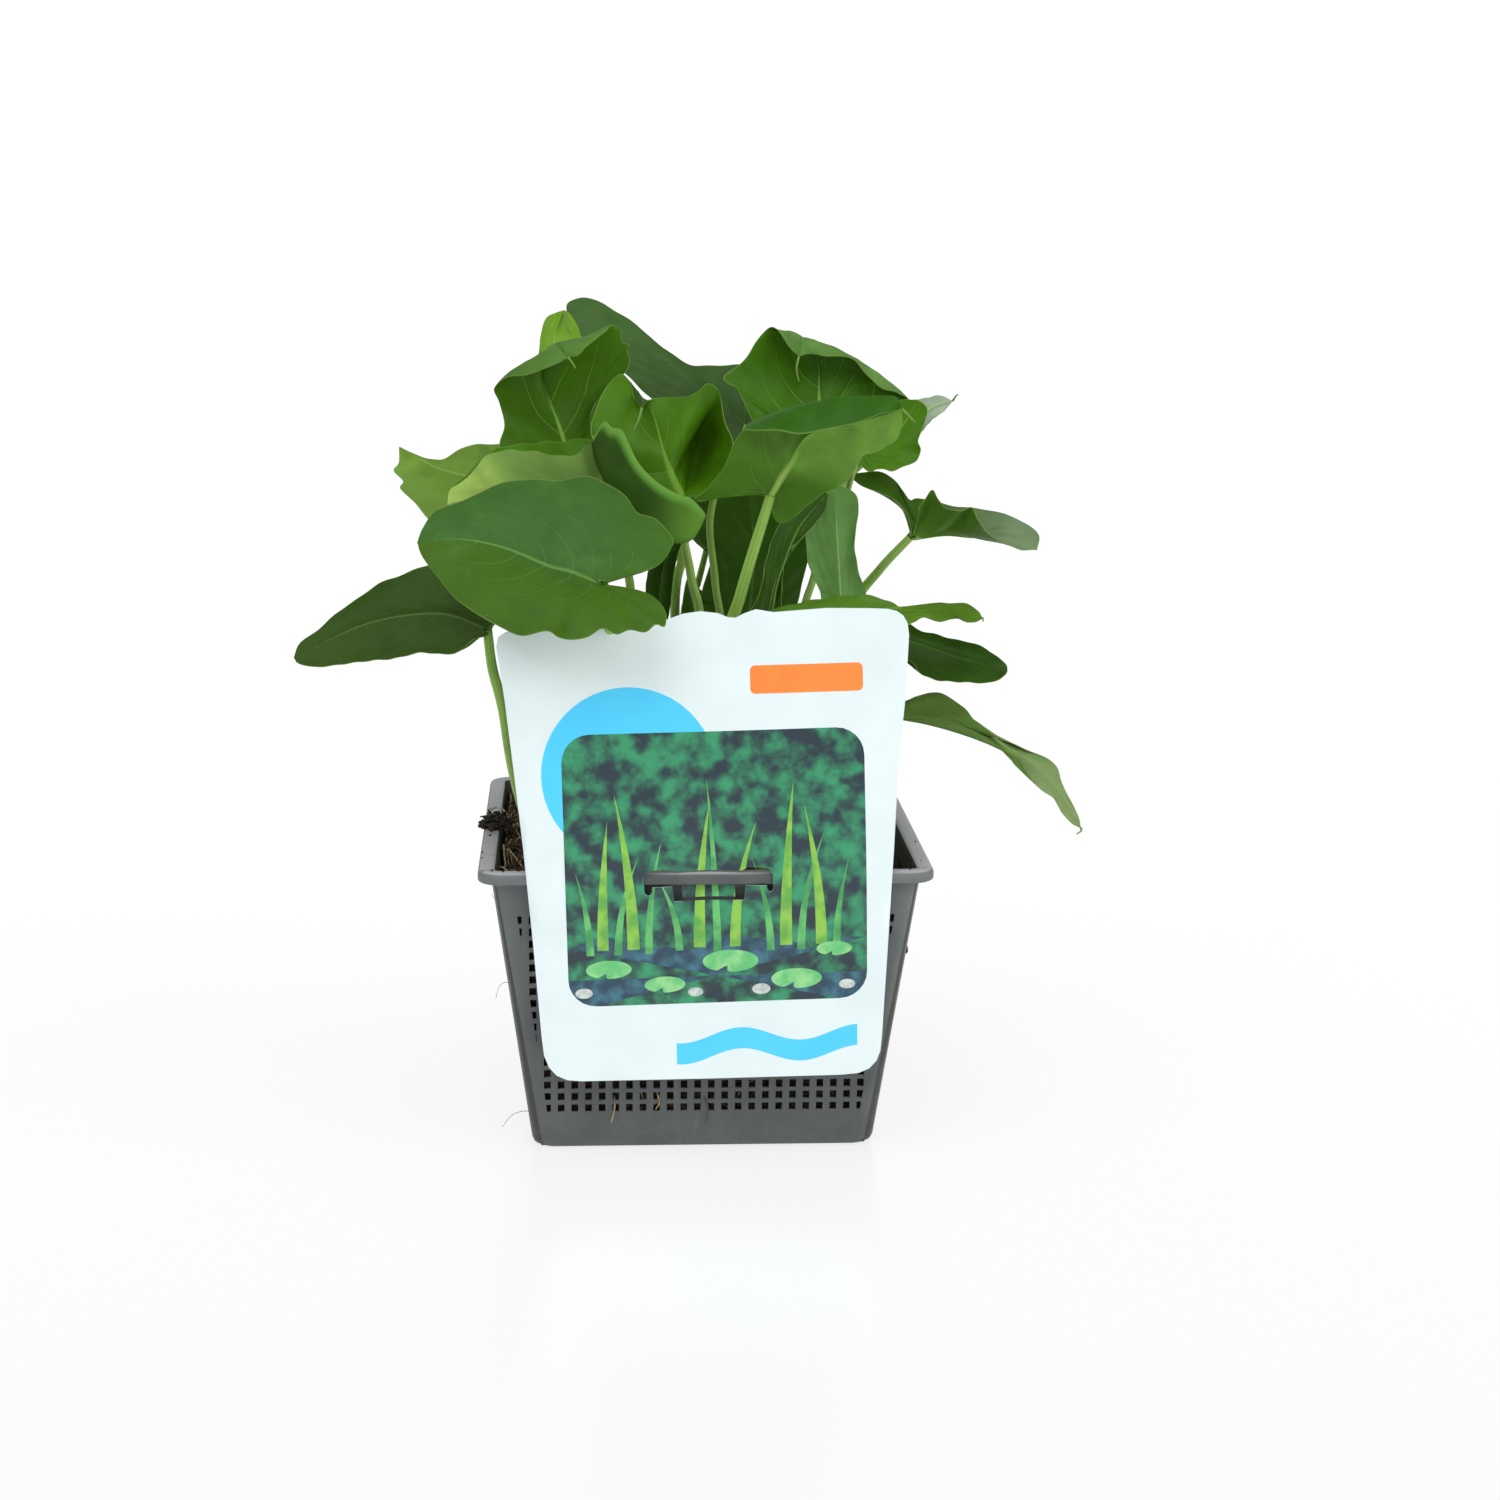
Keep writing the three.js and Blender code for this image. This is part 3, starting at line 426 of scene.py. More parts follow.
@dataclass(frozen=True)
class BladeFinish:
    """Colours of one kind of blade: waxy above with fine sunk veins, matt and paler beneath.

    Reach is how far along the blade its midrib still shows as a pale line, lobe_end where the lobes'
    colour beneath ends, rim a painted highlight on the underside by its margin and left the colour of the
    left half.
    """

    name: str
    upper: Colour
    lobe: Colour
    under: Colour
    vein: Colour
    gloss: float = 0.33
    reach: float = 0.95
    tip: Colour | None = None
    under_lobe: Colour | None = None
    lobe_end: float = 0.6
    rim: Colour | None = None
    left: Colour | None = None
    veins: int = 8
    sweep: float = 0.3
    vein_width: float = 0.026
    fine_veins: Point = (4, 0.12, 0.1)  # times as many, their width and strength
    rim_highlight_band: Span = (0.466, 0.494)
    dark_speck: Colour = (34, 50, 20)
    pale_speck: Colour = (158, 182, 96)

    def above(self) -> Material:
        """Upper face: lobes, middle and tip graded along the blade, then clouds, specks, veins and margin.

        Returns:
            The material.
        """
        graph = Graph(f"{self.name}_blade_upper", sheen=0.1)
        vein, rib, edge = self.lines(graph)
        across, along, _ = graph.parts(graph.flat)
        base = graph.mix(graph.grade(along, 0.12, 0.55), ink(self.lobe), ink(self.upper))
        base = graph.over(base, (graph.grade(along, 0.5, 0.85), self.tip or self.upper, 1.0))
        if self.left:
            base = graph.over(base, (graph.grade(across, 0.58, 0.34), self.left, 1.0))
        base = graph.over(
            base,
            (graph.grade(graph.noise(11.0, 5.0), 0.42, 0.76, 0.0, 0.35), tint(self.upper, 0.74), 1.0),
            (graph.grade(graph.noise(16.0, 3.0), 0.5, 0.8, 0.0, 0.6), tint(self.upper, 1.14, 4.0), 1.0),
            (graph.specks(7.0, 0.06, 0.08), self.dark_speck, 0.4),
            (graph.specks(4.5, 0.07, 0.12), self.pale_speck, 0.25),
            (vein, self.vein, 0.42), (rib, self.vein, 0.75), (edge, MARGIN_COLOUR, 0.45))
        graph.wear(graph.noise(2.5, 3.0), self.gloss - 0.06, self.gloss + 0.14)
        lines = graph.maths("ADD", graph.times(vein, -0.5), graph.times(rib, -0.6))
        cells = graph.times(graph.noise(0.7, 3.0), 0.3)
        graph.relief(graph.maths("ADD", lines, cells), 0.22, 0.5)
        return graph.done(base)

    def beneath(self) -> Material:
        """Underside: clouds, then lobes in their own colour and a painted highlight by the rim, raised veins
        and margin.

        Returns:
            The material.
        """
        graph = Graph(f"{self.name}_blade_under", sheen=0.1)
        vein, rib, edge = self.lines(graph)
        across, along, _ = graph.parts(graph.flat)
        base = graph.over(
            ink(self.under),
            (graph.grade(graph.noise(9.0, 4.0), 0.35, 0.7), tint(self.under, 1.1), 1.0),
            (graph.grade(graph.noise(14.0, 3.0), 0.5, 0.8), tint(self.under, 0.86), 1.0))
        base = graph.mix(graph.grade(along, self.lobe_end - 0.2, self.lobe_end),
                         ink(self.under_lobe or self.under), base)
        # Painted highlight: a lighter band on the underside just inside the margin, where the curled rim
        # catches the light.
        if self.rim:
            out = graph.maths("ABSOLUTE", graph.maths("SUBTRACT", across, 0.5))
            base = graph.over(base, (graph.grade(out, *self.rim_highlight_band), self.rim, 1.0))
        base = graph.over(base, (vein, self.vein, 0.4), (rib, RIB_COLOUR, 0.9), (edge, MARGIN_COLOUR, 0.3))
        graph.wear(graph.noise(2.0, 3.0), self.gloss + 0.08, self.gloss + 0.28)
        lines = graph.maths("ADD", graph.times(vein, 0.6), graph.times(rib, 0.5))
        graph.relief(graph.maths("ADD", lines, graph.times(graph.noise(0.6, 3.0), 0.4)), 0.25, 0.5)
        return graph.done(base)

    def lines(self, graph: Graph) -> tuple[Socket, ...]:
        """Masks that follow the blade's own map, across from margin to margin and along to the tip.

        A vein runs where veins x (along - sweep x across^2) is a whole number, so that each one leaves
        the midrib and curves forward; the sweep is less on the lobes, and the veins fade halfway out.

        Args:
            graph: The material's nodes.

        Returns:
            Masks of the side veins, the midrib and the margin.
        """
        across, along, _ = graph.parts(graph.flat)
        out = graph.maths("ABSOLUTE", graph.maths("SUBTRACT", graph.times(across, 2.0), 1.0))
        forward = graph.times(graph.grade(along, 0.08, 0.5, 0.35, 1.0), self.sweep)
        bend = graph.times(graph.maths("POWER", out, 2.0), forward)
        sway = graph.times(graph.noise(30.0, 1.0), 0.09)
        phase = graph.maths("ADD", graph.maths("SUBTRACT", along, bend), sway)
        masks = []
        for count, width, strength in ((1, self.vein_width, 1.0), self.fine_veins):
            gap = graph.maths("PINGPONG", graph.times(phase, float(count * self.veins)), 0.5)
            masks.append(graph.grade(gap, width * 0.2, width, strength, 0.0))
        vein = graph.maths("MAXIMUM", *masks)
        vein = graph.times(vein, graph.grade(out, 0.35, 0.8, 1.0, 0.12))
        rib = graph.times(graph.grade(out, 0.01, 0.036, 1.0, 0.0), graph.grade(along, 0.24, 0.34))
        rib = graph.times(rib, graph.grade(along, self.reach - 0.12, self.reach + 0.05, 1.0, 0.0))
        return vein, rib, graph.grade(out, 0.985, 0.998)


class Tone(Enum):
    """Kinds of blade by age and by how they stand to the light; their colours hold painted light and shade.
    """

    BRIGHT = BladeFinish("bright", (118, 164, 46), (116, 164, 46), (118, 160, 62), (152, 190, 84))
    FRESH = BladeFinish("fresh", (82, 124, 30), (82, 124, 30), (96, 140, 48), (124, 160, 70),
                        tip=(72, 108, 14))
    # Middle: the blue in its upper colour is a painted sheen of the sky; lobe and left are its plain green.
    MIDDLE = BladeFinish("middle", (58, 98, 37), (58, 97, 20), (92, 134, 52), (98, 138, 66), 0.36, veins=9,
                         sweep=0.52, left=(61, 97, 14))
    DULL = BladeFinish("dull", (50, 78, 20), (62, 90, 30), (80, 112, 54), (84, 112, 60), 0.42)
    LIGHT = BladeFinish("light", (104, 140, 50), (104, 144, 50), (112, 148, 72), (132, 164, 88))
    ARCHED = BladeFinish("arched", (96, 130, 56), (132, 172, 88), (96, 128, 62), (124, 154, 90), 0.4,
                         tip=(126, 150, 96))
    PALE = BladeFinish("pale", (68, 114, 14), (72, 118, 14), (146, 176, 86), (158, 190, 104), reach=0.6,
                       under_lobe=(108, 142, 68), lobe_end=0.85)
    BLUISH = BladeFinish("bluish", (51, 81, 32), (54, 86, 32), (84, 118, 62), (88, 118, 66), reach=0.4,
                         tip=(64, 97, 44))
    DEEP = BladeFinish("deep", (64, 107, 10), (60, 103, 10), (74, 112, 44), (140, 184, 80))
    SHADED = BladeFinish("shaded", (62, 108, 12), (54, 96, 10), (84, 122, 54), (146, 190, 88))
    # Spread: its pale grey-green tip is a painted sheen at a grazing angle.
    SPREAD = BladeFinish("spread", (50, 84, 8), (56, 94, 12), (72, 110, 28), (104, 136, 66), 0.3,
                         tip=(108, 132, 94))
    SLIM = BladeFinish("slim", (41, 76, 2), (41, 76, 2), (76, 116, 34), (104, 140, 62))
    # Lively: its dark underside is painted shade, and its rim colour is a painted highlight along the margin
    # beneath.
    LIVELY = BladeFinish("lively", (66, 110, 10), (68, 112, 12), (40, 70, 14), (112, 156, 56), 0.32,
                         under_lobe=(92, 136, 46), lobe_end=0.3, rim=(96, 148, 58))
    FRONT = BladeFinish("front", (44, 92, 8), (60, 104, 16), (100, 142, 54), (130, 168, 82), reach=0.62,
                        under_lobe=(72, 114, 30))
    CHALKY = BladeFinish("chalky", (144, 162, 138), (138, 158, 126), (143, 160, 137), (172, 188, 162), 0.5)
    SATIN = BladeFinish("satin", (90, 132, 64), (86, 127, 58), (94, 132, 62), (134, 166, 98))
    # Dark: leaves deep in the cluster, whose green is darkened in part as painted shade.
    DARK = BladeFinish("dark", (46, 80, 14), (48, 82, 16), (54, 88, 28), (74, 108, 42), 0.3)


def leaf_margin() -> Material:
    """Thin lighter edge of a blade, and its curled tip."""
    graph = Graph("blade_margin", 0.45, 0.2)
    return graph.done(graph.over(ink(MARGIN_COLOUR), (graph.noise(3.0, 2.0), (92, 128, 48), 1.0)))


@cache
def blade_materials(tone: Tone) -> tuple[Material, ...]:
    """Materials of a blade's upper face and underside, made once for each tone."""
    return tone.value.above(), tone.value.beneath()


@cache
def shared(maker: Callable[[], Material]) -> Material:
    """A material that several pieces share, made once."""
    return maker()


def stalk_skin() -> Material:
    """Smooth ribbed stalk, pale near the soil and greener towards the blade.

    Returns:
        The material.
    """
    graph = Graph("stalk_skin")
    streaks = graph.noise(1000.0, 3.0, graph.stretch(graph.flat, (26.0, 2.0, 1.0)))
    height = graph.parts(graph.place)[2]
    base = graph.over(
        ink((104, 146, 48)),
        (graph.grade(streaks, 0.3, 0.7), (144, 182, 76), 1.0),
        (graph.grade(height, 0.10, 0.17, 0.75, 0.0), (150, 160, 96), 1.0),
        (graph.grade(graph.noise(14.0, 2.0), 0.5, 0.8, 0.0, 0.5), (78, 118, 44), 1.0))
    graph.wear(streaks, 0.38, 0.55)
    graph.relief(streaks, 0.25, 0.5)
    return graph.done(base)


@dataclass(frozen=True)
class Fold:
    """Line that half of a blade folds over, between two shares of the way along its margin."""

    start: float
    end: float
    line: tuple[Point, ...]


def evenly(points: Array, shares: Array) -> Array:
    """Points of a curve at even steps of its own length: a dense spline read back by running length.

    Args:
        points: Control points, shape (knots, 3).
        shares: Shares of the curve's length.

    Returns:
        Points on the curve, shape (shares, 3).
    """
    dense = spline(points, np.linspace(0.0, 1.0, 40 * len(points)))
    run = np.append(0.0, np.cumsum(np.linalg.norm(np.diff(dense, axis=0), axis=1)))
    return np.stack([np.interp(np.clip(shares, 0.0, 1.0) * run[-1], run, axis) for axis in dense.T], -1)


@dataclass(frozen=True)
class Leaf:
    """One leaf: its stalk's route and radii, then its midrib and both margins, from the stalk to the tip.

    Left and right are as seen on the upper face, which looks towards face. Bulge lifts the middle of
    the left and the right half that way and rise lifts it straight up, wave ruffles the margins and
    tail is the curl that the tip ends in.
    """

    name: str
    tone: Tone
    root: Span
    radii: Span
    wave: float
    face: Point
    stalk: tuple[Point, ...]
    midrib: tuple[Point, ...]
    left: tuple[Point, ...]
    right: tuple[Point, ...]
    bulge: Span = (0.0, 0.0)
    left_fold: Fold | None = None
    right_fold: Fold | None = None
    rise: Span = (0.0, 0.0)
    tail: tuple[Point, ...] = ()
    rows: int = 110
    columns: int = 18
    crowding: float = 1.25
    lobe_share: float = 0.3
    lobe_ease: float = 1.5
    ruffles: float = 3.0
    frill: float = 0.35
    frills: float = 3.3
    neck: float = 0.03
    neck_columns: int = 4
    fold_shares: Span = (0.25, 0.78)
    quilt: float = 0.16
    quilt_width: float = 0.16
    half_thick: float = 0.32
    thinning: float = 0.2
    rib_least: float = 0.25
    rib_share: float = 0.95
    groove: float = 0.22
    tail_steps: int = 10
    tail_sides: int = 8
    tail_radii: Span = (0.55, 0.25)
    root_depth: float = 14.0
    stalk_steps: int = 44
    stalk_sides: int = 16
    foot_flare: float = 0.3
    foot_length: float = 0.08

    def shares(self) -> tuple[Array, Array]:
        """Rows along the blade, and columns across one half that crowd towards the midrib."""
        columns = np.linspace(0.0, 1.0, self.columns + 1) ** self.crowding
        return np.linspace(0.0, 1.0, self.rows + 1), columns

    def past(self, rows: Array) -> Array:
        """How far each row has come from the end of the lobe to the tip, from 0 to 1."""
        return np.clip((rows - self.lobe_share) / (1.0 - self.lobe_share), 0.0, 1.0)

    def half(self, side: int) -> Array:
        """Half of the blade between its midrib and one margin.

        Along goes from the notch at the stalk round the lobe to the tip, across from the midrib to the
        margin. Point = rib (1 - across)^2 + 2 bend across (1 - across) + margin across^2 + face (bulge x
        swell + wave x across^3 x sine + frill x across^5 x a faster sine) + up (rise x swell), where
        swell is 4 across (1 - across) sin(pi along). The rib stays at the stalk until the lobe has been
        rounded. Bend is halfway between rib and margin, or where it carries the half over its fold.

        Args:
            side: 0 for the left half, 1 for the right half.

        Returns:
            Grid of points, shape (rows, columns, 3).
        """
        rows, columns = self.shares()
        along, across = rows[:, None], columns[None, :]
        margin = evenly((self.midrib[0], *(self.left, self.right)[side], self.midrib[-1]), rows)
        rib = evenly(self.midrib, self.past(rows) ** self.lobe_ease)
        bend = self.bend((self.left_fold, self.right_fold)[side], rib, margin)
        swell = 4.0 * across * (1.0 - across) * np.sin(math.pi * along)
        turns = FULL_TURN * (self.ruffles * along + 0.2 * side)
        ruffle = self.wave * across**3 * np.sin(turns) * np.sin(math.pi * along)
        finer = self.frill * across**5 * np.sin(self.frills * turns + self.root[0]) * np.sin(math.pi * along)
        lift = (self.bulge[side] * swell + ruffle + finer)[..., None] * unit(np.array(self.face))
        share = across[..., None]
        points = rib[:, None] * (1.0 - share) ** 2 + 2.0 * bend[:, None] * share * (1.0 - share)
        return points + margin[:, None] * share**2 + lift + (self.rise[side] * swell)[..., None] * UP

    def bend(self, fold: Fold | None, rib: Array, margin: Array) -> Array:
        """Middle control point of each row of a half.

        A fold is met at the share across that its distances from rib and margin give. The control
        point there is (fold - rib (1 - share)^2 - margin share^2) / (2 share (1 - share)), and near the
        fold's ends it eases back to halfway between rib and margin.

        Args:
            fold: The fold, or None.
            rib: Points of the midrib.
            margin: Points of the margin.

        Returns:
            One point for each row.
        """
        middle = 0.5 * (rib + margin)
        if fold is None:
            return middle
        rows, _ = self.shares()
        crest = evenly(fold.line, (rows - fold.start) / (fold.end - fold.start))
        inner = np.linalg.norm(crest - rib, axis=1)
        outer = np.linalg.norm(crest - margin, axis=1)
        share = np.clip(inner / np.maximum(inner + outer, 1e-6), *self.fold_shares)[:, None]
        control = (crest - rib * (1.0 - share) ** 2 - margin * share**2) / (2.0 * share * (1.0 - share))
        weight = ease(rows, fold.start - 0.02, fold.start + 0.08)
        if fold.end < 1.0:
            weight = weight * ease(rows, fold.end + 0.04, fold.end - 0.08)
        return middle + weight[:, None] * (control - middle)

    def normals(self, sheet: Array) -> Array:
        """Unit normals on the upper side, from the sheet's two tangents; one for all of the neck.

        Args:
            sheet: Points from the left margin to the right one, shape (rows, columns, 3).

        Returns:
            A normal for each point.
        """
        rows, _ = self.shares()
        raw = np.cross(np.gradient(sheet, axis=0), np.gradient(sheet, axis=1))
        raw *= np.sign((raw @ np.array(self.face)).sum())
        centre, early = self.columns, rows <= self.lobe_share + self.neck
        middle = slice(centre - self.neck_columns, centre + self.neck_columns + 1)
        neck = unit(raw[early, middle].sum(axis=(0, 1)))
        raw[0], raw[-1] = neck, raw[-2].mean(axis=0)
        raw[early, centre] = neck
        return unit(raw)

    def sheet(self) -> tuple[Array, Array, Array]:
        """Middle surface of the blade, sunk along its side veins by quilt x exp(-(gap / width)^2).

        Gap is how far, in steps from vein to vein, a point is from the nearest vein of the finish.

        Returns:
            Points from the left margin to the right one, their unit normals on the upper side, and
            how far along the surface they are from the midrib.
        """
        rows, columns = self.shares()
        halves = self.half(0), self.half(1)
        points = np.concatenate((halves[0][:, :0:-1], halves[1]), axis=1)
        across = np.concatenate((columns[:0:-1], columns))[None, :]
        normal = self.normals(points)
        runs = [np.cumsum(np.linalg.norm(np.diff(part, axis=1), axis=-1), axis=1) for part in halves]
        away = np.concatenate((runs[0][:, ::-1], np.zeros((len(rows), 1)), runs[1]), axis=1)
        finish = self.tone.value
        forward = finish.sweep * (0.35 + 0.65 * ease(rows, 0.08, 0.5))[:, None]
        phase = (rows[:, None] - forward * across**2) * finish.veins
        gap = np.abs(phase - np.round(phase))
        quilt = self.quilt * np.exp(-((gap / self.quilt_width) ** 2)) * ease(away, 2.0, 9.0)
        return points - (quilt * ease(across, 1.0, 0.7))[..., None] * normal, normal, away

    def blade(self) -> Piece:
        """The blade as a closed shell that is thick along the midrib and thins to its margins.

        Above = sheet + (thick - groove) normal and below = sheet - (thick + rib) normal, where rib and
        groove fall off as exp(-distance^2) from the midrib and shrink towards the tip.

        Returns:
            The piece.
        """
        rows, columns = self.shares()
        points, normal, away = self.sheet()
        across = np.concatenate((-columns[:0:-1], columns))
        left = 1.0 - self.past(rows)[:, None]
        thick = self.half_thick - self.thinning * np.abs(across[None, :]) ** 6
        rib = self.rib_least + self.rib_share * self.radii[1] * left**0.9
        groove = self.groove * left * np.exp(-(away**2))
        above = points + (thick - groove)[..., None] * normal
        below = points - (thick + rib * np.exp(-((away / (0.95 * rib)) ** 2)))[..., None] * normal
        uv = np.stack(np.broadcast_arrays(0.5 + 0.5 * across[None, :], rows[:, None]), -1)
        shell = Shell()
        shell.grid(above, 0, uv=uv)
        shell.grid(below, 1, uv=uv)
        for edge in (0, -1):
            shell.grid(np.stack((above[:, edge], below[:, edge]), axis=1), 2)
        if self.tail:
            line = spline((self.midrib[-1], *self.tail), np.linspace(0.0, 1.0, self.tail_steps))
            radius = np.linspace(*self.tail_radii, self.tail_steps)
            shell.grid(tube(line, radius, self.tail_sides), 2)
        finishes = [*blade_materials(self.tone), shared(leaf_margin)]
        return shell.build(f"blade_{self.name}", finishes, "blade", f"leaf_{self.name}", crease=75.0)

    def stem(self, soil_level: float) -> Piece:
        """The stalk: a tapering tube from under the soil to just below the blade, flared at its foot.

        Args:
            soil_level: Height of the soil.

        Returns:
            The piece.
        """
        neck_normal = self.normals(np.concatenate((self.half(0)[:, :0:-1], self.half(1)), axis=1))[0, 0]
        neck = np.array(self.midrib[0]) - 0.7 * self.radii[1] * neck_normal
        share = np.linspace(0.0, 1.0, self.stalk_steps)
        line = spline(((*self.root, soil_level - self.root_depth), *self.stalk, neck), share)
        radius = self.radii[0] + (self.radii[1] - self.radii[0]) * share
        radius *= 1.0 + self.foot_flare * np.exp(-share / self.foot_length)
        shell = Shell()
        shell.grid(tube(line, radius, self.stalk_sides, 0.05))
        return shell.build(f"stem_{self.name}", [shared(stalk_skin)], "stalk", f"stalk_{self.name}")


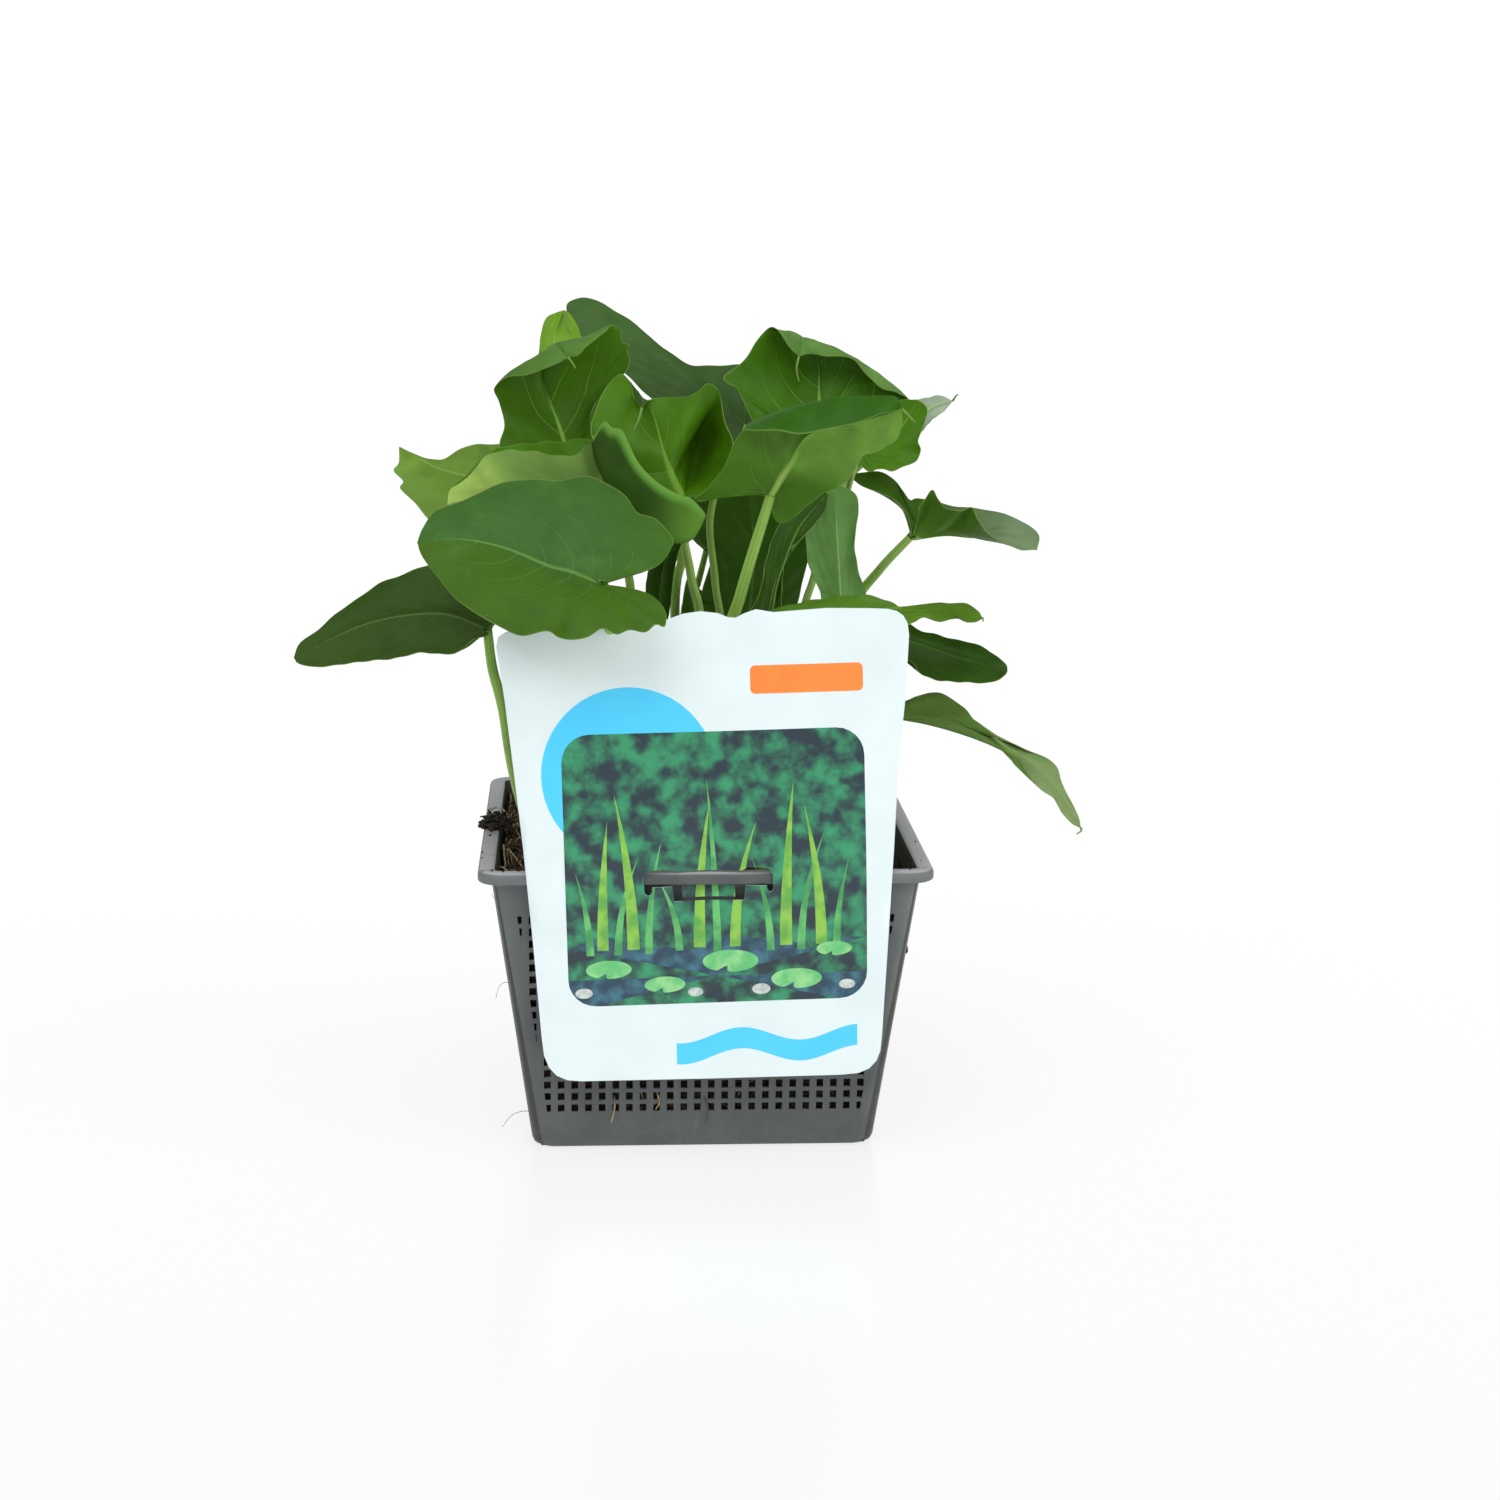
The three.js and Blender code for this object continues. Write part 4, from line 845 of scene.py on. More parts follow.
LEAVES = (
    Leaf("front_left", Tone.MIDDLE, root=(-22, -34), radii=(2.4, 1.9), wave=0.6, face=(-0.1, -0.8, 0.6),
         bulge=(3, 2), stalk=((-30, -60, 187), (-39, -84, 218)),
         midrib=((-42, -92, 234), (-52, -88, 238), (-61, -85, 240), (-78, -77, 246), (-95, -74, 249),
         (-112, -75, 248)),
         left=((-37, -93, 233), (-33, -94, 233), (-25, -97, 232), (-21, -100, 230), (-18, -104, 227),
         (-17, -106, 224), (-18, -110, 221), (-21, -110, 222), (-25, -111, 219), (-31, -111, 220),
         (-36, -112, 218), (-41, -110, 220), (-47, -112, 217), (-53, -112, 216), (-58, -109, 217),
         (-62, -107, 219), (-71, -106, 217), (-79, -102, 219), (-87, -99, 223), (-96, -92, 228),
         (-104, -84, 236), (-110, -78, 243)),
         right=((-37, -91, 236), (-33, -91, 237), (-25, -91, 239), (-19, -89, 242), (-15, -86, 247),
         (-14, -83, 251), (-20, -76, 257), (-27, -72, 259), (-32, -66, 265), (-40, -60, 270), (-48, -57, 272),
         (-59, -57, 270), (-70, -55, 270), (-82, -56, 268), (-94, -61, 263), (-105, -64, 259),
         (-110, -69, 253))),
    Leaf("low_left", Tone.DULL, root=(-60, -44), radii=(2.2, 1.8), wave=0.4, face=(-0.1, -0.7, 0.6),
         bulge=(-2, -3), stalk=((-75, -55, 148), (-80, -62, 180), (-84, -64, 197)),
         midrib=((-86, -62, 212), (-104, -54, 217), (-132, -51, 213), (-162, -57, 200)),
         left=((-86, -64, 210), (-92, -64, 208), (-97, -66, 204), (-102, -66, 203), (-112, -64, 203),
         (-121, -64, 201), (-131, -63, 200), (-143, -62, 198), (-153, -61, 197), (-160, -59, 198)),
         right=((-77, -54, 222), (-89, -43, 233), (-101, -39, 235), (-111, -38, 234), (-119, -39, 231),
         (-129, -40, 227), (-138, -43, 221), (-146, -46, 216), (-153, -50, 210), (-160, -53, 205))),
    Leaf("back_left", Tone.LIGHT, root=(-34, -8), radii=(2.2, 1.6), wave=0.5, face=(-0.2, -0.8, 0.6),
         bulge=(-3, -2), stalk=((-37, -20, 201), (-57, -18, 233)),
         midrib=((-67, -15, 257), (-90, -9, 265), (-108, 0, 269), (-124, 13, 276)),
         left=((-69, -23, 246), (-90, -23, 240), (-105, -15, 244), (-112, -10, 250), (-117, -4, 255),
         (-123, 1, 260), (-122, 3, 263), (-126, 6, 267), (-124, 9, 270)),
         right=((-57, -15, 261), (-65, -3, 274), (-80, 4, 278), (-89, 6, 278), (-96, 5, 277), (-102, 2, 274),
         (-107, 2, 272), (-115, 6, 273))),
    Leaf("left_fold", Tone.PALE, root=(-26, -20), radii=(2, 1.5), wave=0.2, face=(0, 0.1, 1), bulge=(0, 0),
         rise=(-2, -2), stalk=((-30, -30, 202), (-30, -34, 229)),
         midrib=((-40, -38, 261), (-53, -39, 260), (-73, -39, 260), (-89, -39, 260), (-102, -40, 259)),
         left=((-38, -43, 263), (-39, -43, 268), (-41, -42, 274), (-42, -40, 279), (-44, -37, 283),
         (-47, -38, 282), (-50, -41, 279), (-55, -42, 278), (-59, -42, 278), (-63, -41, 279), (-70, -39, 280),
         (-78, -38, 280), (-83, -38, 279), (-87, -38, 277), (-90, -39, 274), (-93, -38, 270), (-97, -38, 267),
         (-101, -38, 264)),
         right=((-39, -31, 265), (-41, -21, 273), (-43, -14, 280), (-47, -12, 282), (-55, -12, 281),
         (-64, -13, 281), (-74, -15, 280), (-81, -17, 279), (-86, -21, 277), (-91, -26, 273), (-96, -31, 268),
         (-101, -35, 264))),
    Leaf("upper_left", Tone.DEEP, root=(-18, -4), radii=(2.4, 1.8), wave=0.5, face=(0, -0.9, 0.3),
         bulge=(-4, -4), stalk=((-31, -6, 194), (-42, -6, 227)),
         midrib=((-52, -15, 266), (-57, -9, 284), (-63, -5, 297), (-65, -4, 308), (-62, -6, 318),
         (-57, -12, 318), (-54, -19, 315)),
         left=((-63, -18, 258), (-79, -14, 269), (-82, -10, 279), (-80, -8, 287), (-82, -7, 296),
         (-84, -9, 302), (-78, -15, 307), (-71, -19, 308), (-63, -20, 311), (-58, -20, 313)),
         right=((-45, -17, 260), (-43, -12, 273), (-45, -6, 291), (-38, -3, 302), (-32, -1, 307),
         (-29, 1, 312), (-30, 2, 317), (-29, 3, 319), (-32, 3, 320), (-33, 3, 325), (-36, 1, 327),
         (-39, -6, 325), (-43, -11, 322), (-47, -15, 319), (-50, -18, 316)),
         left_fold=Fold(0.58, 1, ((-83, -10, 304), (-76, -12, 310), (-68, -13, 315), (-61, -14, 319),
         (-57, -16, 319), (-54, -19, 315))),
         right_fold=Fold(0.66, 1, ((-34, 2, 326), (-38, -2, 327), (-43, -7, 325), (-48, -9, 323),
         (-53, -12, 322), (-57, -16, 320), (-54, -19, 315))), tail=((-53, -20, 314), (-51, -21, 311))),
    Leaf("young_lobe", Tone.BRIGHT, root=(-8, 8), radii=(2, 1.5), wave=0.3, face=(0.2, -0.9, 0.3),
         bulge=(-2, -2), stalk=((-10, 6, 208), (-8, 8, 234), (-24, 12, 267)),
         midrib=((-51, 8, 288), (-57, 12, 304), (-60, 17, 320), (-56, 18, 332)),
         left=((-57, 6, 286), (-64, 8, 298), (-66, 12, 310), (-66, 15, 317), (-65, 17, 324), (-63, 19, 329),
         (-59, 21, 331)),
         right=((-47, 8, 286), (-44, 14, 300), (-46, 18, 314), (-49, 20, 322), (-51, 21, 327),
         (-54, 22, 331)), tail=((-55, 17, 327), (-53, 16, 322))),
    Leaf("top", Tone.BLUISH, root=(6, 22), radii=(1.7, 1.1), wave=0.3, face=(-0.1, -0.8, 0.6), bulge=(0, 0),
         stalk=((-6, 14, 197), (0, 16, 219), (7, 20, 245), (16, 30, 269)),
         midrib=((21, 42, 283), (2, 51, 298), (-23, 68, 315), (-55, 87, 327)),
         left=((21, 31, 269), (2, 40, 277), (-20, 56, 294), (-30, 65, 303), (-40, 72, 310), (-49, 77, 315),
         (-53, 81, 320)),
         right=((41, 48, 293), (32, 58, 304), (22, 59, 307), (13, 59, 307), (7, 59, 307), (-1, 60, 307),
         (-9, 64, 311), (-19, 72, 318), (-26, 78, 324), (-33, 84, 328), (-40, 89, 332), (-47, 91, 334),
         (-52, 91, 333), (-55, 90, 331))),
    Leaf("centre_funnel", Tone.LIVELY, root=(-6, -34), radii=(2.3, 1.4), wave=0.2, face=(0.1, -0.9, 0.3),
         bulge=(0, 0), stalk=((-1, -36, 199), (-5, -37, 229), (-8, -35, 246)),
         midrib=((-8, -40, 262), (-12, -31, 269), (-16, -28, 279), (-20, -27, 293), (-24, -27, 299),
         (-25, -39, 297)),
         left=((-5, -47, 259), (-2, -51, 257), (0, -54, 256), (-2, -55, 259), (-6, -55, 263), (-12, -55, 265),
         (-20, -56, 270), (-26, -54, 276), (-30, -51, 283), (-33, -49, 289), (-37, -48, 290), (-40, -45, 292),
         (-44, -43, 286), (-45, -39, 290), (-43, -32, 296), (-39, -26, 304), (-33, -22, 309), (-29, -24, 305),
         (-28, -27, 300)),
         right=((-1, -35, 261), (5, -32, 268), (10, -29, 275), (12, -25, 282), (9, -16, 290), (8, -13, 297),
         (6, -14, 303), (2, -17, 305), (-2, -19, 302), (-7, -22, 300), (-16, -24, 300), (-22, -28, 299)),
         left_fold=Fold(0.05, 0.66, ((0, -54, 253), (-5, -56, 247), (-14, -56, 246), (-23, -56, 250),
         (-30, -53, 256), (-37, -48, 262), (-40, -43, 269), (-43, -40, 275), (-44, -39, 282),
         (-44, -40, 287))),
         right_fold=Fold(0.1, 0.6, ((-4, -22, 262), (-1, -10, 269), (1, -4, 277), (1, -5, 285),
         (0, -12, 293))), tail=((-26, -40, 293), (-28, -41, 289))),
    Leaf("top_right", Tone.SHADED, root=(0, 8), radii=(1.7, 1.2), wave=0.4, face=(0, -0.9, 0.4),
         bulge=(-6, -6), stalk=((8, -12, 193), (6, -10, 223), (4, -8, 251), (14, -2, 268)),
         midrib=((50, 10, 276), (51, 24, 295), (51, 30, 311), (46, 27, 319), (41, 12, 314)),
         left=((38, 8, 272), (24, 14, 285), (18, 17, 296), (15, 16, 301), (10, 16, 305), (19, 21, 312),
         (24, 26, 319), (30, 29, 325), (34, 24, 323), (37, 17, 318)),
         right=((63, 13, 271), (81, 13, 283), (88, 18, 295), (83, 15, 299), (76, 15, 301), (70, 15, 306),
         (65, 16, 312), (60, 16, 314), (53, 15, 314), (46, 15, 315)),
         left_fold=Fold(0.77, 1, ((29, 29, 325), (33, 28, 325), (36, 25, 324), (39, 22, 323), (42, 16, 320))),
         right_fold=Fold(0.36, 1, ((85, 19, 299), (78, 19, 304), (69, 21, 312), (62, 21, 316), (53, 22, 319),
         (45, 20, 322), (42, 16, 320), (41, 12, 314))), tail=((40, 11, 309), (41, 10, 304))),
    Leaf("front_right", Tone.FRONT, root=(8, -42), radii=(2.8, 1.9), wave=0.3, face=(0.2, 0.9, 0.5),
         bulge=(4, 2), stalk=((5, -54, 186), (14, -60, 227)),
         midrib=((25, -58, 265), (32, -69, 278), (39, -77, 290), (54, -82, 294), (73, -86, 301)),
         left=((27, -56, 255), (32, -57, 254), (38, -62, 260), (45, -66, 266), (52, -70, 270), (56, -75, 276),
         (59, -79, 282), (64, -81, 284), (71, -85, 289), (73, -86, 295)),
         right=((19, -58, 266), (9, -55, 265), (-1, -54, 262), (-5, -54, 262), (1, -58, 268), (6, -62, 275),
         (8, -65, 280), (10, -69, 286), (13, -74, 291), (18, -79, 292), (26, -83, 292), (36, -84, 291),
         (44, -85, 293), (54, -86, 295), (65, -87, 299)),
         right_fold=Fold(0.44, 1, ((10, -68, 288), (14, -68, 292), (21, -69, 295), (31, -70, 298),
         (43, -74, 302), (55, -77, 304), (66, -81, 305), (71, -85, 305), (73, -87, 301))),
         tail=((75, -87, 299), (78, -88, 296))),
    Leaf("right_lobe", Tone.LIVELY, root=(34, -2), radii=(1.8, 1.3), wave=0.3, face=(0.1, -0.9, 0.3),
         bulge=(-2, -2), stalk=((51, 0, 206), (56, 2, 237), (61, 0, 260)),
         midrib=((63, -28, 279), (73, -24, 281), (81, -21, 289), (87, -19, 299)),
         left=((62, -27, 283), (63, -25, 289), (72, -21, 296), (80, -20, 299)),
         right=((62, -29, 276), (64, -30, 273), (67, -30, 271), (70, -30, 272), (73, -29, 272),
         (76, -29, 271), (81, -28, 273), (86, -27, 275), (88, -25, 279), (87, -24, 283), (89, -22, 288),
         (91, -20, 294), (90, -19, 297))),
    Leaf("far_right_tip", Tone.CHALKY, root=(30, 14), radii=(1.7, 1.3), wave=0.2, face=(0.1, 0.7, -0.7),
         bulge=(2, 2), stalk=((42, 8, 196), (49, 14, 223), (59, 22, 257)),
         midrib=((79, 25, 276), (88, 29, 283), (99, 35, 291), (109, 38, 294)),
         left=((83, 21, 273), (91, 25, 278), (96, 29, 283), (100, 32, 287), (105, 35, 290)),
         right=((78, 33, 284), (83, 39, 291), (92, 41, 294), (98, 41, 295), (104, 41, 296)),
         tail=((110, 37, 296), (111, 36, 297))),
    Leaf("right_spread", Tone.SPREAD, root=(40, 4), radii=(2.3, 1.6), wave=0.3, face=(-0.1, -0.8, 0.7),
         bulge=(-3, -3), stalk=((56, 4, 179), (63, 3, 209), (75, 0, 227)),
         midrib=((88, 0, 241), (103, 4, 242), (115, 3, 241), (127, 0, 243), (139, -11, 237)),
         left=((88, 4, 246), (86, 9, 250), (83, 15, 254), (79, 19, 256), (73, 23, 258), (68, 27, 260),
         (65, 31, 263), (70, 33, 264), (78, 33, 264), (84, 31, 261), (87, 28, 257), (90, 26, 253),
         (93, 27, 254), (99, 27, 253), (108, 24, 251), (118, 21, 250), (127, 16, 249), (136, 8, 246),
         (141, -2, 242)),
         right=((90, 0, 246), (91, 0, 253), (94, 2, 257), (97, 4, 260), (99, 0, 256), (102, -6, 253),
         (107, -9, 253), (112, -8, 254), (114, -14, 249), (118, -19, 244), (124, -21, 241), (131, -19, 238)),
         left_fold=Fold(0.08, 0.5, ((88, 6, 247), (87, 11, 250), (87, 14, 251), (87, 18, 252), (88, 19, 251),
         (91, 16, 248)))),
    Leaf("right_upright", Tone.SATIN, root=(30, -30), radii=(2.4, 2), wave=0.3, face=(0.2, -1, 0.3),
         bulge=(-2, -2), stalk=((54, -36, 179),),
         midrib=((57, -34, 203), (56, -29, 223), (55, -23, 242), (54, -17, 264)),
         left=((53, -37, 195), (49, -35, 205), (48, -31, 220), (46, -29, 226), (43, -28, 233), (42, -26, 241),
         (42, -24, 247), (44, -22, 255), (49, -19, 261)),
         right=((61, -36, 195), (68, -31, 207), (67, -27, 220), (64, -26, 229), (62, -23, 240),
         (63, -20, 248), (64, -18, 255), (63, -17, 260), (59, -17, 263))),
    Leaf("narrow_upright", Tone.SLIM, root=(16, -26), radii=(2.2, 1.8), wave=0.3, face=(0.4, -0.9, 0.3),
         bulge=(-2, -2), stalk=((24, -34, 178),),
         midrib=((26, -50, 206), (29, -42, 225), (38, -30, 247), (51, -20, 261)),
         left=((19, -55, 200), (16, -52, 212), (22, -45, 224), (25, -39, 236), (30, -33, 249), (40, -26, 257),
         (47, -21, 262)),
         right=((30, -50, 200), (31, -46, 211), (31, -42, 222), (32, -38, 231), (33, -35, 238),
         (37, -32, 242), (42, -29, 246), (47, -25, 251), (50, -22, 255)), tail=((53, -21, 262),
         (54, -22, 261))),
    Leaf("card_edge", Tone.FRESH, root=(22, -40), radii=(2, 1.6), wave=0.2, face=(0, -0.3, 1), bulge=(1, 1),
         stalk=((31, -48, 181),),
         midrib=((38, -56, 217), (58, -53, 218), (80, -54, 218), (98, -53, 218), (110, -59, 216)),
         left=((32, -53, 218), (26, -52, 218), (37, -46, 220), (46, -42, 221), (59, -40, 222), (67, -40, 222),
         (73, -43, 221), (78, -49, 219), (81, -53, 218), (86, -49, 219), (93, -47, 220), (99, -46, 220),
         (105, -47, 220), (109, -53, 218)),
         right=((34, -64, 214), (42, -69, 213), (61, -68, 213), (78, -67, 214), (86, -59, 216),
         (93, -61, 215), (100, -59, 216), (103, -63, 215), (107, -62, 215)), tail=((110, -60, 216),
         (110, -61, 215))),
    Leaf("low_right", Tone.DARK, root=(44, -22), radii=(2, 1.7), wave=0.2, face=(-0.1, -0.6, 0.8),
         bulge=(-2, -2), stalk=((61, -26, 172),),
         midrib=((68, -30, 202), (84, -30, 202), (102, -39, 197), (122, -50, 193)),
         left=((60, -29, 202), (67, -15, 214), (80, -20, 212), (87, -27, 207), (95, -31, 205),
         (104, -35, 203), (111, -38, 202), (117, -42, 199), (120, -46, 197), (122, -48, 195)),
         right=((62, -36, 197), (72, -36, 198), (83, -41, 196), (87, -46, 192), (91, -49, 190),
         (97, -51, 189), (105, -53, 189), (113, -54, 189), (118, -53, 190), (121, -52, 192))),
    Leaf("lowest_right", Tone.ARCHED, root=(52, -34), radii=(2, 1.6), wave=0.2, face=(-0.1, -0.5, 0.9),
         bulge=(-2, -2), stalk=((61, -34, 149),),
         midrib=((68, -35, 173), (90, -35, 174), (107, -40, 173), (119, -57, 165), (129, -69, 160),
         (138, -85, 152), (144, -104, 141)),
         left=((65, -33, 173), (73, -29, 176), (83, -33, 176), (86, -30, 178), (89, -28, 179), (93, -27, 180),
         (98, -29, 180), (103, -33, 178), (107, -38, 175), (110, -45, 172), (116, -53, 168), (124, -60, 165),
         (133, -66, 162), (139, -73, 159), (140, -81, 154), (142, -91, 149), (144, -99, 144)),
         right=((67, -39, 170), (74, -38, 171), (82, -39, 172), (89, -40, 172), (96, -42, 172),
         (104, -46, 170), (110, -51, 168), (118, -59, 164), (125, -68, 160), (128, -76, 155), (131, -82, 152),
         (136, -89, 149), (138, -95, 145), (141, -101, 142)), tail=((144, -105, 140), (142, -106, 139))),
    Leaf("inner_centre", Tone.DARK, root=(12, -6), radii=(2.2, 1.8), wave=0.2, face=(0.1, -1, 0.2),
         bulge=(-2, -2), stalk=((15, -2, 181),),
         midrib=((19, 0, 197), (22, 5, 218), (23, 9, 236), (21, 13, 259)),
         left=((9, -3, 189), (-3, -3, 196), (-7, -1, 205), (-7, 1, 214), (-5, 3, 223), (-3, 3, 220),
         (0, 2, 215), (2, 3, 221), (5, 5, 230), (6, 6, 234), (2, 6, 235), (-1, 6, 237), (-4, 7, 241),
         (-5, 8, 248), (-4, 10, 255), (0, 11, 259), (9, 13, 262)),
         right=((28, 0, 191), (37, 3, 201), (41, 5, 211), (44, 8, 223), (47, 11, 234), (48, 13, 246),
         (41, 14, 255), (29, 14, 260))),
    Leaf("inner_left", Tone.DARK, root=(-14, -22), radii=(2, 1.6), wave=0.2, face=(-0.2, -1, 0.2),
         bulge=(-2, -2), stalk=((-15, -26, 185),),
         midrib=((-17, -30, 214), (-17, -28, 224), (-15, -26, 234), (-9, -25, 246)),
         left=((-20, -30, 209), (-23, -28, 216), (-23, -27, 223), (-22, -26, 230), (-19, -25, 237),
         (-14, -24, 244)),
         right=((-15, -32, 209), (-13, -30, 217), (-12, -28, 227), (-10, -27, 237), (-8, -26, 243))),
    Leaf("rear_left", Tone.MIDDLE, root=(-30, 30), radii=(2.3, 1.8), wave=1.2, face=(0, 0.8, 0.6),
         bulge=(3, 3), stalk=((-41, 48, 189), (-45, 58, 218)),
         midrib=((-47, 70, 234), (-64, 69, 239), (-82, 70, 238), (-97, 73, 231)),
         left=((-41, 65, 242), (-53, 56, 253), (-71, 54, 256), (-88, 60, 248)),
         right=((-38, 75, 227), (-52, 84, 216), (-74, 81, 219), (-90, 79, 222))),
    Leaf("rear_right", Tone.MIDDLE, root=(16, 34), radii=(2.3, 1.8), wave=1.2, face=(0, 0.8, 0.6),
         bulge=(3, 3), stalk=((22, 50, 189), (21, 60, 231)),
         midrib=((23, 70, 267), (34, 68, 273), (46, 67, 274), (59, 69, 269)),
         left=((17, 75, 261), (26, 80, 254), (43, 81, 253), (54, 75, 260)),
         right=((19, 65, 274), (26, 58, 284), (40, 55, 287), (52, 59, 281))),
    Leaf("rear_low_left", Tone.LIGHT, root=(-12, 40), radii=(2.2, 1.8), wave=1.2, face=(-0.3, 0.8, 0.5),
         bulge=(3, 3), stalk=((-17, 56, 152),),
         midrib=((-23, 72, 172), (-41, 74, 162), (-53, 81, 143), (-59, 91, 120)),
         left=((-30, 64, 180), (-47, 60, 176), (-62, 65, 160), (-65, 78, 137)),
         right=((-18, 80, 161), (-22, 88, 146), (-36, 93, 130), (-50, 97, 116))),
    Leaf("rear_low_right", Tone.DULL, root=(34, 42), radii=(2.2, 1.8), wave=1.2, face=(0.3, 0.8, 0.5),
         bulge=(3, 3), stalk=((37, 60, 147),),
         midrib=((40, 76, 166), (55, 75, 162), (69, 79, 147), (77, 89, 123)),
         left=((36, 83, 158), (43, 89, 143), (57, 92, 130), (71, 94, 119)),
         right=((41, 70, 176), (61, 62, 176), (77, 67, 159), (82, 79, 136))),
    Leaf("rear_upper_left", Tone.LIGHT, root=(-20, 16), radii=(2.2, 1.7), wave=1.2, face=(-0.3, 0.8, 0.5),
         bulge=(3, 3), stalk=((-42, 34, 192), (-42, 48, 233)),
         midrib=((-46, 62, 274), (-55, 54, 286), (-66, 43, 296), (-76, 35, 300)),
         left=((-38, 61, 281), (-44, 49, 296), (-57, 38, 305), (-70, 34, 305)),
         right=((-45, 67, 267), (-58, 62, 268), (-73, 50, 278), (-79, 39, 291))),
    Leaf("rear_upper_right", Tone.MIDDLE, root=(26, 22), radii=(2.2, 1.7), wave=1.2, face=(0.3, 0.8, 0.5),
         bulge=(3, 3), stalk=((37, 36, 191), (46, 50, 241)),
         midrib=((69, 66, 269), (75, 60, 279), (82, 52, 289), (86, 44, 295)),
         left=((76, 66, 265), (83, 60, 271), (89, 52, 280), (90, 46, 289)),
         right=((63, 67, 272), (62, 60, 284), (68, 49, 297), (79, 44, 300))),
)


@dataclass
class Basket:
    """Moulded pond basket: four sloping lattice walls, a flanged rim and a lattice floor."""

    height: float = 120.0
    rim_half: float = 90.0
    rim_corner: float = 9.5
    rim_drop: float = 4.7
    wall_top_half: float = 84.6
    wall_base_half: float = 69.3
    corner_base: float = 8.0
    corner_top: float = 4.5
    wall: float = 1.8
    floor: float = 2.0
    lattice_low: float = 16.0
    lattice_rows: int = 17
    row_pitch: float = 5.1
    column_pitch: float = 5.5
    columns: int = 28
    hole_width: float = 2.7
    hole_height: float = 3.5
    lattice_inset: float = 8.05
    least_hole: float = 0.45
    arc_steps: int = 7
    floor_reach: float = 66.0
    floor_holes: int = 17
    floor_pitch: float = 7.3
    floor_hole: float = 4.2

    FOOT = ((0, 3), (0.4, 1.5), (1.3, 0.5), (3.2, 0), (9, 0))  # heights, how far tucked in
    TOP_ROWS = (108, 113, 118)

    def wall_half(self, z: Array) -> Array:
        """Half of the outer width at a height."""
        share = z / (self.height - self.rim_drop)
        return self.wall_base_half + (self.wall_top_half - self.wall_base_half) * share

    def corner(self, z: Array) -> Array:
        """Radius of the walls' outer corners at a height."""
        return self.corner_base + (self.corner_top - self.corner_base) * z / self.height

    def wall_grids(self) -> tuple[Array, Array, Array]:
        """The front wall, from the middle of one corner to that of the next, then turned three times.

        The columns of holes stand upright while the walls slope, so their lines are held inside an
        edge that follows the slope, and the outermost holes are cut by it.

        Returns:
            Outer grid, inner grid and the mask of solid cells.
        """
        starts = self.lattice_low + self.row_pitch * np.arange(self.lattice_rows)
        holes_z = np.stack((starts, starts + self.hole_height), -1).ravel()
        foot, tuck = np.array(self.FOOT).T
        z = np.concatenate((foot, holes_z, self.TOP_ROWS))
        tuck = np.pad(tuck, (0, len(z) - len(foot)))
        middles = (np.arange(self.columns) - (self.columns - 1) / 2) * self.column_pitch
        holes_x = np.stack((middles - self.hole_width / 2, middles + self.hole_width / 2), -1).ravel()
        half, reach = self.wall_half(z) - tuck, self.wall_half(z) - self.lattice_inset
        lines = np.clip(holes_x[None, :], -reach[:, None], reach[:, None])
        lines = np.concatenate((-reach[:, None], lines, reach[:, None]), axis=1)
        open_rows = np.zeros(len(z) - 1, bool)
        open_rows[len(foot):len(foot) + 2 * self.lattice_rows:2] = True
        wide = np.diff(lines, axis=1)
        wide = np.maximum(wide[:-1], wide[1:]) > self.least_hole
        open_columns = np.zeros(lines.shape[1] - 1, bool)
        open_columns[1::2] = True
        solid = ~(open_rows[:, None] & open_columns[None, :] & wide)
        arc = np.pad(solid, ((0, 0), (self.arc_steps,) * 2), constant_values=True)
        outer = self.one_wall(lines, half, self.corner(z), z)
        z = np.maximum(z, self.floor)
        inner = self.one_wall(lines, self.wall_half(z) - self.wall, self.corner(z) - self.wall, z)
        return self.all_round(outer), self.all_round(inner), np.tile(arc, (1, 4))

    def one_wall(self, lines: Array, half: Array, radius: Array, z: Array) -> Array:
        """The front wall with half a corner at each end: (centre + radius cos, centre + radius sin).

        Args:
            lines: Places across of the upright lines, shape (rows, lines).
            half: Half of the width, for each row.
            radius: Radius of the corners, for each row.
            z: Height of each row.

        Returns:
            Grid of points.
        """
        angle = np.linspace(math.pi / 4, 0.0, self.arc_steps + 1)[:-1]
        centre = (half - radius)[:, None]
        bend_x = centre + radius[:, None] * np.sin(angle)
        bend_y = centre + radius[:, None] * np.cos(angle)
        x = np.concatenate((-bend_x, lines, bend_x[:, ::-1]), axis=1)
        flat = np.broadcast_to(half[:, None], lines.shape)
        y = -np.concatenate((bend_y, flat, bend_y[:, ::-1]), axis=1)
        return np.stack((x, y, np.broadcast_to(z[:, None], x.shape)), -1)

    def all_round(self, front: Array) -> Array:
        """The front wall's grid and its three quarter turns, as one closed loop of columns.

        Args:
            front: Grid of the front wall.

        Returns:
            Grid of all four walls.
        """
        turns = [front]
        for _ in range(3):
            last = turns[-1]
            turns.append(np.stack((-last[..., 1], last[..., 0], last[..., 2]), -1))
        return np.concatenate([*(wall[:, :-1] for wall in turns), front[:, :1]], axis=1)

    def square(self, half: Array, radius: Array, z: Array) -> Array:
        """Rounded squares, one for each half width, as rows of a grid."""
        lines = np.linspace(-1.0, 1.0, 13)[None, :] * (half - radius)[:, None]
        return self.all_round(self.one_wall(lines, half, np.maximum(radius, 0.5), z))

